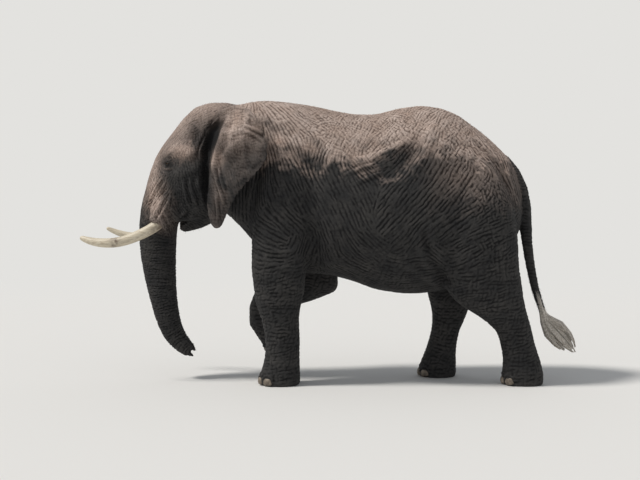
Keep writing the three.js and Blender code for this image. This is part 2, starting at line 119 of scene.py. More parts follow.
# %% Helpers for meshes and pieces
def add_object(name, mesh, material, *replaced, slot):
    """Links a piece, gives it its finish and says which solids of the part it stands for."""
    piece = bpy.data.objects.new(name, mesh)
    scene.collection.objects.link(piece)
    mesh.materials.clear()
    mesh.materials.append(material)
    mesh.polygons.foreach_set("use_smooth", [True] * len(mesh.polygons))
    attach(piece, "root")
    if replaced:
        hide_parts(*replaced)
    print(name, "stands for", len(replaced), "solids,", len(mesh.polygons), "faces,",
          round(time.time() - started, 1), "s")


def mesh_of(name, points, faces):
    mesh = bpy.data.meshes.new(name)
    mesh.from_pydata([tuple(p) for p in points], [], [tuple(f) for f in faces])
    mesh.update()
    return mesh


def read_points(mesh):
    flat = np.empty(len(mesh.vertices) * 3, np.float32)
    mesh.vertices.foreach_get("co", flat)
    return flat.reshape(-1, 3).astype(float)


def unit(vectors):
    return vectors / np.maximum(np.linalg.norm(vectors, axis=-1, keepdims=True), 1e-9)


def smoothstep(low, high, value):
    """0 below `low`, 1 above `high` and a soft rise between them."""
    t = np.clip((np.asarray(value, float) - low) / (high - low), 0, 1)
    return t * t * (3 - 2 * t)


# %% [markdown]
# ## Camera, studio and light
# A long lens 14 m away looks level at the animal's left side from a little over 2 m up. The studio is a
# flat pale floor that fades into a plain backdrop far out, so no horizon shows from any side. A curved
# wall would do too, but it would stand close behind the tail and catch its shadow. One large soft lamp
# stands high, as the midday sun does, and the pale world fills what it misses: the back is bright and
# the flanks lie in their own soft shade.

# %% Camera
CAMERA_AT = (-0.1205, -13.98, 2.24)
SENSOR = 36  # mm
FOCAL_SHARE = 1212 / 640  # focal length as a share of the view's width
DROP_SHARE = 54 / 640  # how far the level view slides down to take in the floor, as such a share
camera_data = bpy.data.cameras.new("camera")
camera_data.sensor_width = SENSOR
camera_data.lens = SENSOR * FOCAL_SHARE
camera_data.shift_y = -DROP_SHARE
camera_data.clip_end = 200
camera = bpy.data.objects.new("camera", camera_data)
camera.location = CAMERA_AT
camera.rotation_euler = (math.radians(90), 0, 0)
scene.collection.objects.link(camera)
scene.camera = camera
print("lens:", round(camera_data.lens, 1), "mm")

# %% Studio floor
FLOOR_RADIUS = 40
FADE = (8.0, 17.0)  # between these distances the floor turns into the plain backdrop
BACKDROP = linear("#e3e2df")
SIDES = 72
around = [2 * math.pi * i / SIDES for i in range(SIDES)]
floor_points = [(0, 0, 0)] + [(FLOOR_RADIUS * math.cos(a), FLOOR_RADIUS * math.sin(a), 0) for a in around]
floor_faces = [(0, 1 + i, 1 + (i + 1) % SIDES) for i in range(SIDES)]
studio = bpy.data.objects.new("studio_floor", mesh_of("studio_floor", floor_points, floor_faces))
scene.collection.objects.link(studio)
studio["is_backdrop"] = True
# Rolled matt emulsion: no gloss at all, so the floor shows only the soft shadow.
paint, paint_shader = new_material("matt_studio_paint")
set_inputs(paint, paint_shader, {"Base Color": BACKDROP, "Roughness": 0.95})
studio.data.materials.append(paint)


def seen_rays(owner):
    """1 for what the camera sees, straight or in a gloss or a glass, and 0 for light on its way."""
    straight, in_gloss, in_glass = (add_node(owner, "LightPath", output=f"Is {kind} Ray")
                                    for kind in ("Camera", "Glossy", "Transmission"))
    seen = add_node(owner, "Math", {0: straight, 1: in_gloss}, operation="ADD")
    return add_node(owner, "Math", {0: seen, 1: in_glass}, operation="ADD", use_clamp=True)


floor_place = add_node(paint, "TexCoord", output="Object")
far_out = add_node(paint, "VectorMath", {0: floor_place}, "Value", operation="LENGTH")
faded = add_node(paint, "MapRange", {"Value": far_out, "From Min": FADE[0], "From Max": FADE[1]},
                 interpolation_type="SMOOTHSTEP")
faded = add_node(paint, "Math", {0: faded, 1: seen_rays(paint)}, operation="MULTIPLY")
plain = add_node(paint, "Emission", {"Color": BACKDROP, "Strength": 1.0})
floor_look = add_node(paint, "MixShader", {0: faded, 1: paint_shader.outputs[0], 2: plain})
set_inputs(paint, paint.node_tree.nodes["Material Output"], {"Surface": floor_look})
print("floor:", 2 * FLOOR_RADIUS, "m wide")

# %% Light
FILL = 0.40
KEY = 2.5  # with the fill, a level surface renders at about its own colour
SOFT_BOX = 10  # degrees that the lamp's disc spans
TOWARDS_KEY = (-0.56, -0.15, 0.82)
world = bpy.data.worlds.new("studio_fill")
world.use_nodes = True
scene.world = world
fill = world.node_tree.nodes["Background"]
set_inputs(world, fill, {"Color": linear("#eef2f8"), "Strength": FILL})
backdrop = add_node(world, "Background", {"Color": BACKDROP, "Strength": 1.0})
sky = add_node(world, "MixShader", {0: seen_rays(world), 1: fill.outputs[0], 2: backdrop})
set_inputs(world, world.node_tree.nodes["World Output"], {"Surface": sky})
key_data = bpy.data.lights.new("key", "SUN")
key_data.energy = KEY
key_data.angle = math.radians(SOFT_BOX)
key_data.color = (1.0, 0.97, 0.93)
key = bpy.data.objects.new("key", key_data)
key.rotation_euler = Vector(TOWARDS_KEY).to_track_quat("Z", "Y").to_euler()
scene.collection.objects.link(key)
scene.view_settings.view_transform = "Standard"
print("lamp:", KEY, "fill:", FILL)

# %% [markdown]
# ## One skin from the blocks of flesh
# The hide runs over the whole animal without a seam. Each block of flesh is swollen by more than half
# of the cut to its neighbour, so that they overlap, and a voxel remesh casts them into one even net of
# small squares. Joining the blocks with booleans would keep every facet and leave long thin triangles
# that can't be sculpted. Voxels of 10 mm keep the ears and the fingers of the trunk.

# %% Cast the skin
NOT_FLESH = ("eye", "tusk", "nail", "tail_brush")
SWELL = 1.5 * MM
VOXEL = 10 * MM
SOCKET_FILL = -2.5 * MM  # how much smaller than the tusk, eye or nail its filling is
TUSK_LEAVES_AT = -1.925  # x where the tusks come out of their sheaths
TUSK_SLICE = 0.06  # half the length of a slice of tusk, whose points' mean lies on the tusk's middle line
SHEATH = 26 * MM  # thickness of the lip of hide round a tusk
flesh_names = [n for n in nodes if not n.startswith(NOT_FLESH)]
cast = bmesh.new()
tusk_lips = {}
for name in ("tusk_left", "tusk_right"):
    tusk_points = read_points(nodes[name].data)
    at_lip, ahead_of_lip = (tusk_points[np.abs(tusk_points[:, 0] - x) < TUSK_SLICE].mean(0)
                            for x in (TUSK_LEAVES_AT, TUSK_LEAVES_AT - 0.15))
    way = unit(ahead_of_lip - at_lip)
    tusk_lips[name] = (at_lip, way)
    print(name, "leaves its sheath at", np.round(at_lip, 3), "towards", np.round(way, 2))


def pour(name, swell, lip=None):
    """Adds a swollen copy of a solid to the cast. What lies beyond the lip, a place and the way out
    of it, is left off."""
    block = bmesh.new()
    block.from_mesh(nodes[name].data)
    bmesh.ops.remove_doubles(block, verts=block.verts, dist=0.01 * MM)
    if lip:
        whole = block.verts[:] + block.edges[:] + block.faces[:]
        bmesh.ops.bisect_plane(block, geom=whole, plane_co=lip[0], plane_no=lip[1], clear_outer=True)
        bmesh.ops.holes_fill(block, edges=block.edges)
    block.normal_update()
    for v in block.verts:
        v.co += v.normal * swell
    copy = bpy.data.meshes.new("copy")
    block.to_mesh(copy)
    block.free()
    cast.from_mesh(copy)
    bpy.data.meshes.remove(copy)


for name in flesh_names:
    pour(name, SWELL)
for name in nodes:
    if name.startswith(("eye", "nail")):
        pour(name, SOCKET_FILL)
    if name.startswith("tusk"):
        pour(name, SHEATH, tusk_lips[name])
cast_mesh = bpy.data.meshes.new("cast")
cast.to_mesh(cast_mesh)
cast.free()
cast_object = bpy.data.objects.new("cast", cast_mesh)
scene.collection.objects.link(cast_object)
remesh = cast_object.modifiers.new("remesh", "REMESH")
remesh.mode = "VOXEL"
remesh.voxel_size = VOXEL
evaluated = cast_object.evaluated_get(bpy.context.evaluated_depsgraph_get())
skin_mesh = bpy.data.meshes.new_from_object(evaluated)
bpy.data.objects.remove(cast_object)
print("cast skin:", len(skin_mesh.vertices), "points", round(time.time() - started, 1), "s")

# %% [markdown]
# ## The net as arrays
# Sculpting in code means moving hundreds of thousands of points at once, so the net is read into
# arrays. Each point knows its neighbours from a table with one row per point. Averaging over that table
# again and again spreads a value over the skin as heat spreads, which is how the facets are melted.

# %% Read the net and average over neighbours
def read_pairs(mesh):
    """Pairs of neighbouring points: the two ends of each edge."""
    pairs = np.empty(len(mesh.edges) * 2, np.int32)
    mesh.edges.foreach_get("vertices", pairs)
    return pairs.reshape(-1, 2)


def neighbour_table(pairs, count):
    """One row per point with its neighbours, filled up with the point itself, and how many are real."""
    both = np.concatenate([pairs, pairs[:, ::-1]])
    both = both[np.argsort(both[:, 0], kind="stable")]
    owner, other = both.T
    degree = np.bincount(owner, minlength=count)
    first = np.concatenate([[0], np.cumsum(degree)[:-1]])
    table = np.repeat(np.arange(count, dtype=np.int32)[:, None], degree.max(), axis=1)
    table[owner, np.arange(len(owner)) - first[owner]] = other
    return table, degree


def neighbour_mean(values, table, degree):
    total = np.zeros_like(values)
    for column in table.T:
        total += values[column]
    spare = table.shape[1] - degree
    scale = degree
    if values.ndim > 1:
        spare, scale = spare[:, None], scale[:, None]
    return (total - spare * values) / scale


def spread(values, net, rounds, rate=0.8):
    """Evens values out over the net. `rate` may differ from point to point."""
    values = values.astype(np.float32)
    rate = np.asarray(rate, np.float32)
    if rate.ndim and values.ndim > 1:
        rate = rate[:, None]
    for _ in range(rounds):
        values += rate * (neighbour_mean(values, *net) - values)
    return values


def islands(pairs, count):
    """A label for each point that all the points it hangs together with share."""
    label = np.arange(count)
    while True:
        low = np.minimum(label[pairs[:, 0]], label[pairs[:, 1]])
        new = label.copy()
        np.minimum.at(new, pairs[:, 0], low)
        np.minimum.at(new, pairs[:, 1], low)
        new = new[new]
        if (new == label).all():
            return label
        label = new


def write_points(mesh, points):
    mesh.vertices.foreach_set("co", np.asarray(points, np.float32).ravel())
    mesh.update()


def write_value(mesh, name, values):
    layer = mesh.attributes.new(name, "FLOAT", "POINT")
    layer.data.foreach_set("value", np.asarray(values, np.float32))


def read_value(mesh, name):
    values = np.empty(len(mesh.vertices), np.float32)
    mesh.attributes[name].data.foreach_get("value", values)
    return values


# %% Drop the bubbles inside the cast: only the largest piece is the skin
label = islands(read_pairs(skin_mesh), len(skin_mesh.vertices))
kept = label == np.bincount(label).argmax()
if not kept.all():
    trim = bmesh.new()
    trim.from_mesh(skin_mesh)
    trim.verts.ensure_lookup_table()
    bmesh.ops.delete(trim, geom=[trim.verts[i] for i in np.flatnonzero(~kept)], context="VERTS")
    trim.to_mesh(skin_mesh)
    trim.free()
print("dropped", int((~kept).sum()), "stray points", round(time.time() - started, 1), "s")

# %% [markdown]
# ## Which part of the body each point belongs to
# Ears, trunk, legs and tail are melted and wrinkled in their own ways. Each point takes the name of the
# nearest solid, and the names become soft masks that fade into each other across a few centimetres.

# %% Masks of the body's parts
PARTS = ("ear_left", "ear_right", "trunk", "head", "neck", "torso", "leg_front_left", "leg_front_right",
         "leg_hind_left", "leg_hind_right", "tail")
tree_points, tree_faces, face_part = [], [], []
for name in flesh_names:
    data = nodes[name].data
    base = len(tree_points)
    tree_points += [v.co.copy() for v in data.vertices]
    tree_faces += [[base + i for i in p.vertices] for p in data.polygons]
    part = next(i for i, prefix in enumerate(PARTS) if name.startswith(prefix))
    face_part += [part] * len(data.polygons)
flesh_tree = BVHTree.FromPolygons(tree_points, tree_faces)
points = read_points(skin_mesh)
nearest = np.array([flesh_tree.find_nearest(p)[2] for p in points])
part_of = np.array(face_part)[nearest]
net = neighbour_table(read_pairs(skin_mesh), len(points))
masks = {name: spread((part_of == i).astype(float), net, 6) for i, name in enumerate(PARTS)}


def joined_masks():
    """The ears, the head and the legs, each as one mask."""
    legs = sum(masks[name] for name in PARTS if name.startswith("leg"))
    return masks["ear_left"] + masks["ear_right"], masks["head"], legs


print("parted", round(time.time() - started, 1), "s")

# %% [markdown]
# ## Melting the facets
# Plain averaging melts facets but also shrinks every round form. Done twice, with twice the first
# result less the second, most of the shrinking cancels out. Thin and small parts are melted less.

# %% Melt
ear_mask, head_mask, leg_mask = joined_masks()
foot = leg_mask * (1 - smoothstep(0.10, 0.34, points[:, 2]))
lifted = masks["leg_front_right"] * (1 - smoothstep(0.6, 0.8, points[:, 2]))
trunk_tip = masks["trunk"] * (1 - smoothstep(0.36, 0.62, points[:, 2]))
melting = 1 - 0.93 * ear_mask - 0.45 * masks["trunk"] - 0.5 * trunk_tip - 0.85 * masks["tail"]
melting = melting - 0.55 * head_mask - 0.82 * np.maximum(foot, lifted)
melting = np.clip(melting, 0.04, 1)
MELT_ROUNDS = round(90 * (12 * MM / VOXEL) ** 2)  # melting reaches as far on any net
once = spread(points, net, MELT_ROUNDS, 0.8 * melting)
twice = spread(once, net, MELT_ROUNDS, 0.8 * melting)
points = 2 * once.astype(float) - twice
points[:, 2] = np.maximum(points[:, 2], 0)
for name, mask in masks.items():
    write_value(skin_mesh, name, mask)
write_points(skin_mesh, points)
print("melted", round(time.time() - started, 1), "s")

# %% [markdown]
# ## A finer net where the eye looks closest
# The head and trunk carry small forms, such as lids, lips and ring folds. Their squares are cut in four,
# and twice more round the eyes, instead of making the whole skin finer.

# %% The head's own frame
def box_middle(name):
    low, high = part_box(name)
    return np.array((low + high) / 2)


eyes = {LEFT: box_middle("eye_left"), RIGHT: box_middle("eye_right")}
eye_radius = (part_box("eye_left")[1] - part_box("eye_left")[0]).z / 2
brow_middle = (eyes[LEFT] + eyes[RIGHT]) / 2
to_right = unit(eyes[RIGHT] - eyes[LEFT])
to_front = np.array([-to_right[1], to_right[0], 0])
head_axes = np.stack([to_front, to_right, [0, 0, 1]], 1)
print("eye radius", round(eye_radius / MM), "mm, eyes at", np.round(eyes[LEFT], 2), np.round(eyes[RIGHT], 2))


def head_place(points):
    """Places in the head's frame: ahead of the eyes, to the right, above the eyes."""
    return (points - brow_middle) @ head_axes


def refine(mesh, rounds):
    """Cuts faces in four, in rounds. Each round is a test of a point: a face is cut if all its points
    pass it."""
    shape = bmesh.new()
    shape.from_mesh(mesh)
    for passes in rounds:
        cut = {e for f in shape.faces if all(passes(v) for v in f.verts) for e in f.edges}
        bmesh.ops.subdivide_edges(shape, edges=list(cut), cuts=1, use_grid_fill=True)
    shape.to_mesh(mesh)
    shape.free()


def near_an_eye(reach):
    spots = [Vector(eyes[side]) for side in (LEFT, RIGHT)]
    return lambda v: any((v.co - spot).length_squared < reach * reach for spot in spots)


# %% Refine the head and trunk
face_part = masks["head"] + masks["trunk"]
is_face = (face_part > 0.5).tolist()
refine(skin_mesh, [lambda v: is_face[v.index], near_an_eye(0.1), near_an_eye(0.05)])
points = read_points(skin_mesh)
net = neighbour_table(read_pairs(skin_mesh), len(points))
fine = read_value(skin_mesh, "head") + read_value(skin_mesh, "trunk")
points = spread(points, net, 3, 0.6 * fine).astype(float)
masks = {name: read_value(skin_mesh, name) for name in PARTS}
ear_mask, head_mask, leg_mask = joined_masks()
print("refined net:", len(points), "points", round(time.time() - started, 1), "s")

# %% [markdown]
# ## Tools for modelling
# Forms are laid on the skin in flat maps: a side map of x and z for the body, and the head's own map of
# how far ahead of the eyes and how far above them a point is. A lump is a soft oval push along the
# normal. A fold is a ridge or a groove along a smooth curve, fading out at both ends. The same form
# goes on both sides of the animal, because only the map's two numbers and the way a point faces count.

# %% Normals, lumps and folds
skin_mesh.calc_loop_triangles()
triangles = np.empty(len(skin_mesh.loop_triangles) * 3, np.int32)
skin_mesh.loop_triangles.foreach_get("vertices", triangles)
triangles = triangles.reshape(-1, 3)


def normals_of(points):
    a, b, c = (points[triangles[:, k]] for k in range(3))
    turn = np.cross(b - a, c - a)
    total = np.zeros_like(points)
    for axis in range(3):
        for k in range(3):
            total[:, axis] += np.bincount(triangles[:, k], turn[:, axis], len(points))
    return unit(total)


def curve_through(corners, rounds=3):
    """Cuts the corners off a line again and again until it is a smooth curve."""
    line = np.array(corners, float)
    for _ in range(rounds):
        cut = np.empty((2 * len(line) - 2, line.shape[1]))
        cut[0::2] = 0.75 * line[:-1] + 0.25 * line[1:]
        cut[1::2] = 0.25 * line[:-1] + 0.75 * line[1:]
        line = np.concatenate([line[:1], cut, line[-1:]])
    return line


def from_line(flat, corners, reach):
    """For points of a flat map: signed distance from a curve (positive on its left), and the share of
    its length passed there. Points beyond `reach` are left at a great distance."""
    line = curve_through(corners)
    distance = np.full(len(flat), 9.0)
    passed = np.zeros(len(flat))
    near = np.flatnonzero(((flat > line.min(0) - reach) & (flat < line.max(0) + reach)).all(1))
    spot = flat[near]
    best = np.full(len(near), 9.0)
    share = np.zeros(len(near))
    steps = np.linalg.norm(np.diff(line, axis=0), axis=1)
    begun = np.concatenate([[0], np.cumsum(steps)]) / steps.sum()
    for i, step in enumerate(steps):
        a, way = line[i], (line[i + 1] - line[i]) / step
        t = np.clip((spot - a) @ way, 0, step)
        gap = spot - (a + t[:, None] * way)
        length = np.hypot(gap[:, 0], gap[:, 1])
        closer = length < np.abs(best)
        side = np.where(way[0] * gap[:, 1] - way[1] * gap[:, 0] >= 0, 1, -1)
        best[closer] = (side * length)[closer]
        share[closer] = (begun[i] + t / steps.sum())[closer]
    distance[near] = best
    passed[near] = share
    return distance, passed


def fold(flat, corners, height, width, banks=0.45, lean=0.0):
    """A ridge (or, with a negative height, a groove) with shallow banks of the other kind beside it.
    `lean` makes the curve's left side steeper and its right side broader."""
    distance, passed = from_line(flat, corners, 4 * width)
    stretch = np.where(distance > 0, 1 - lean, 1 + lean) * width
    ridge = np.exp(-((distance / stretch) ** 2))
    bank = np.exp(-(((np.abs(distance) - 1.9 * stretch) / stretch) ** 2))
    return height * (ridge - banks * bank) * smoothstep(0, 0.25, passed) * smoothstep(0, 0.25, 1 - passed)


def lump(flat, middle, radii, height, tilt=0):
    """An oval swelling, or a hollow with a negative height. `tilt` turns it, in degrees."""
    c, s = math.cos(math.radians(tilt)), math.sin(math.radians(tilt))
    gap = flat - np.array(middle)
    along, across = gap @ (c, s), gap @ (-s, c)
    return height * np.exp(-((along / radii[0]) ** 2) - (across / radii[1]) ** 2)


def nearness(flat, middle, reach):
    """1 at a place of a flat map, fading over `reach`."""
    return np.exp(-((flat - middle) ** 2).sum(1) / reach ** 2)


def flap_of(mask, place):
    """The part of an ear that hangs free of the head."""
    return mask * smoothstep(0.50, 0.62, -place[:, 0])


print("net:", len(triangles), "triangles")

# %% [markdown]
# ## The big forms of the body
# Under an elephant's hide the shoulder blade, the elbow, the point of the hip and the thigh show as low
# swellings, with hollows between them: one in front of the thigh under the loin, one behind the elbow.
# A loose fold of hide runs from the belly to the knee, and the root of the tail is a ridge between the
# haunches. They could be brushed on by hand in sculpt mode. Tables of forms are used here, as each line
# says what it is and can be changed by itself. The ears come first: they are thinned to their edge.

# %% Ears thinned and torn
EAR_THINNING = 9 * MM  # from each face of the flap
normal = normals_of(points)
out = np.sign(points[:, 1]) * normal[:, 1]  # how much a point faces away from the middle plane
flap = flap_of(ear_mask, head_place(points))
points[:, 1] -= EAR_THINNING * flap * normal[:, 1] * np.abs(normal[:, 1])

# Thorns tear the rear edge of an ear, so it runs in shallow scallops with a few nicks.
EAR_MIDDLE = np.array([-0.80, 0.05])  # in the head's map
EDGE_SPAN = (-88, 40)  # degrees up from straight back, where the edge hangs free
EDGE_STEP = 3  # degrees between the places where the edge is measured
SCALLOP = 85 * MM
NICK_WIDTH = 12 * MM
NICKS = [(-0.16, 0.016), (-0.33, 0.024), (0.10, 0.014), (-0.52, 0.012)]  # place along the edge, depth
from_middle = head_place(points)[:, [0, 2]] - EAR_MIDDLE
off_middle = np.linalg.norm(from_middle, axis=1)
edge_angle = np.degrees(np.arctan2(from_middle[:, 1], -from_middle[:, 0]))
on_flap = np.flatnonzero(flap > 0.5)
bins = 360 // EDGE_STEP
angle_bin = np.clip(((edge_angle + 180) / EDGE_STEP).astype(int), 0, bins - 1)
edge_reach = np.zeros(bins)
np.maximum.at(edge_reach, angle_bin[on_flap], off_middle[on_flap])
rim = np.interp(edge_angle, (np.arange(bins) + 0.5) * EDGE_STEP - 180, edge_reach)
along_edge = rim * np.radians(edge_angle)
torn = 0.010 * (0.5 + 0.5 * np.sin(2 * math.pi * along_edge / SCALLOP + 1.7 * np.sin(along_edge * 19)))
for spot, nick in NICKS:
    torn += nick * np.exp(-np.abs(along_edge - spot) / NICK_WIDTH)
torn *= flap * smoothstep(0.11, 0.01, rim - off_middle) * smoothstep(0, 10, edge_angle - EDGE_SPAN[0])
torn *= smoothstep(0, 15, EDGE_SPAN[1] - edge_angle)
inward = -from_middle / off_middle[:, None]
points += (torn * inward[:, 0])[:, None] * head_axes[:, 0]
points[:, 2] += torn * inward[:, 1]
print("ear edge torn up to", round(float(torn.max()) / MM), "mm")

# %% The body's forms
BODY_LUMPS = [  # middle (x, z), radii, height, tilt in degrees
    ((0.74, 2.46), (0.28, 0.13), -0.044, 34),  # hollow of the flank
    ((0.86, 2.58), (0.12, 0.09), -0.018, 20),
    ((1.16, 2.64), (0.16, 0.24), 0.036, -12),  # point of the hip
    ((1.42, 1.85), (0.42, 0.46), 0.026, 0),  # thigh
    ((1.82, 1.95), (0.16, 0.36), 0.014, 12),  # back of the thigh
    ((-0.55, 2.45), (0.20, 0.42), 0.022, -8),  # shoulder blade
    ((-0.70, 1.85), (0.18, 0.25), 0.016, 0),  # point of the shoulder
    ((-0.20, 1.62), (0.11, 0.34), -0.050, 8),  # hollow behind the elbow
    ((-0.40, 1.42), (0.12, 0.15), 0.018, 0),  # elbow
    ((0.30, 2.72), (0.60, 0.14), 0.012, 0),  # loin
]
BODY_FOLDS = [  # line (x, z), height, half width, lean
    ([(0.18, 2.47), (0.42, 2.57), (0.63, 2.63), (0.78, 2.71), (0.94, 2.76)], 0.010, 0.045, 0.2),
    ([(0.12, 2.36), (0.34, 2.45), (0.52, 2.50)], 0.010, 0.020, 0.2),  # lesser folds before the hollow
    ([(0.24, 2.27), (0.42, 2.34), (0.60, 2.42)], 0.009, 0.020, 0.2),
    # front of the hip
    ([(1.22, 3.02), (1.08, 2.80), (1.02, 2.60), (0.90, 2.42), (0.70, 2.24)], 0.016, 0.060, 0.0),
    ([(0.98, 1.86), (1.04, 1.58), (1.20, 1.28), (1.40, 1.04)], -0.024, 0.050, 0.0),  # front of the thigh
    ([(0.72, 1.42), (1.00, 1.24), (1.24, 1.12), (1.44, 1.02)], 0.016, 0.040, 0.0),  # belly fold to the knee
    ([(1.55, 2.80), (1.76, 2.62), (1.92, 2.40), (2.02, 2.12)], -0.022, 0.030, 0.0),  # beside the tail's root
    ([(1.50, 2.66), (1.70, 2.52), (1.85, 2.33), (1.93, 2.05)], 0.016, 0.030, 0.2),
    ([(-0.24, 2.62), (-0.20, 2.30), (-0.26, 1.95)], -0.012, 0.090, 0.0),  # behind the shoulder blade
    ([(-0.78, 1.62), (-0.62, 1.50), (-0.42, 1.52), (-0.26, 1.66)], 0.008, 0.030, 0.0),  # elbow folds
    ([(-0.74, 1.44), (-0.58, 1.33), (-0.40, 1.33), (-0.25, 1.44)], 0.008, 0.026, 0.0),
    ([(-0.92, 2.95), (-0.86, 2.60), (-0.88, 2.20), (-0.93, 1.90)], 0.016, 0.050, 0.0),  # folds of the neck
    ([(-0.76, 2.85), (-0.71, 2.45), (-0.75, 2.05), (-0.83, 1.75)], 0.012, 0.045, 0.0),
]
side_map = points[:, [0, 2]]
body_mask = np.clip(1 - ear_mask - head_mask - masks["trunk"] - masks["tail"], 0, 1)
relief = sum(lump(side_map, *row) for row in BODY_LUMPS)
for line, height, width, lean in BODY_FOLDS:
    relief += fold(side_map, line, height, width, lean=lean)
relief *= smoothstep(0.05, 0.5, out) * body_mask
# The right foreleg is drawn back and lifted, so the forms of the left elbow don't fit it.
relief *= 1 - masks["leg_front_right"]
spine = np.exp(-((points[:, 1] / 0.10) ** 2)) * smoothstep(0.7, 0.95, normal[:, 2]) * body_mask
relief += 0.014 * spine * smoothstep(-0.6, 0.0, points[:, 0])
points += normal * relief[:, None]
print("body modelled", round(time.time() - started, 1), "s")

# %% [markdown]
# ## Legs and feet
# The legs are pillars with low swellings at the wrist, knee and hock. Over each toe the foot bulges
# round its nail, and the hide ends at the nail in a thick cuticle.

# %% Joints of the legs, toes and cuticles
normal = normals_of(points)
side_map = points[:, [0, 2]]
LEG_LUMPS = {  # middle (x, z), radii, height
    "leg_front_left": [((-0.80, 0.92), (0.16, 0.16), 0.018), ((-0.40, 0.70), (0.10, 0.20), -0.010),
                       ((-0.36, 1.10), (0.12, 0.14), 0.012)],
    "leg_hind_left": [((1.44, 1.02), (0.20, 0.15), 0.020), ((2.20, 0.62), (0.10, 0.16), 0.014),
                      ((2.12, 0.95), (0.12, 0.20), -0.012)],
    "leg_hind_right": [((1.13, 0.98), (0.20, 0.16), 0.020), ((1.56, 0.66), (0.10, 0.14), 0.014),
                       ((1.66, 0.92), (0.12, 0.18), -0.010)],
    "leg_front_right": [((-0.82, 0.92), (0.12, 0.13), 0.020), ((0.08, 1.16), (0.12, 0.14), 0.014)],
}
relief = np.zeros(len(points))
for name, lumps in LEG_LUMPS.items():
    relief += masks[name] * sum(lump(side_map, *row) for row in lumps)
CUTICLE, NAIL_BED, TOE = 10 * MM, 6 * MM, 8 * MM  # a welt round the nail, a bed under it, a swelling above
nail_names = [n for n in nodes if n.startswith("nail")]
for name in nail_names:
    low, high = (np.array(corner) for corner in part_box(name))
    middle, half = (low + high) / 2, (high - low) / 2
    gap = (points - middle) / (half + 0.012)
    ring = np.linalg.norm(gap, axis=1)
    relief += CUTICLE * np.exp(-(((ring - 1.12) / 0.20) ** 2)) * smoothstep(-0.9, 0.4, gap[:, 2])
    relief -= NAIL_BED * smoothstep(1.0, 0.7, ring)
    above = (points - middle - (0, 0, 0.10)) / (0.07, 0.07, 0.10)
    relief += TOE * np.exp(-(above ** 2).sum(1))
points += normal * relief[:, None]
points[:, 2] = np.maximum(points[:, 2], 0)
print("legs modelled", round(time.time() - started, 1), "s")

# %% [markdown]
# ## The head
# A bull's head is built round its tusk sockets. A brow ridge roofs the eye, and behind it lies the deep
# hollow of the temple, which works as he chews. A cheekbone runs back from the eye to the ear. The ear
# grows out of a dark cleft with a ridge of hide before it and a rolled front edge behind it. Long folds
# slant down the face to the lip that swells round each tusk.

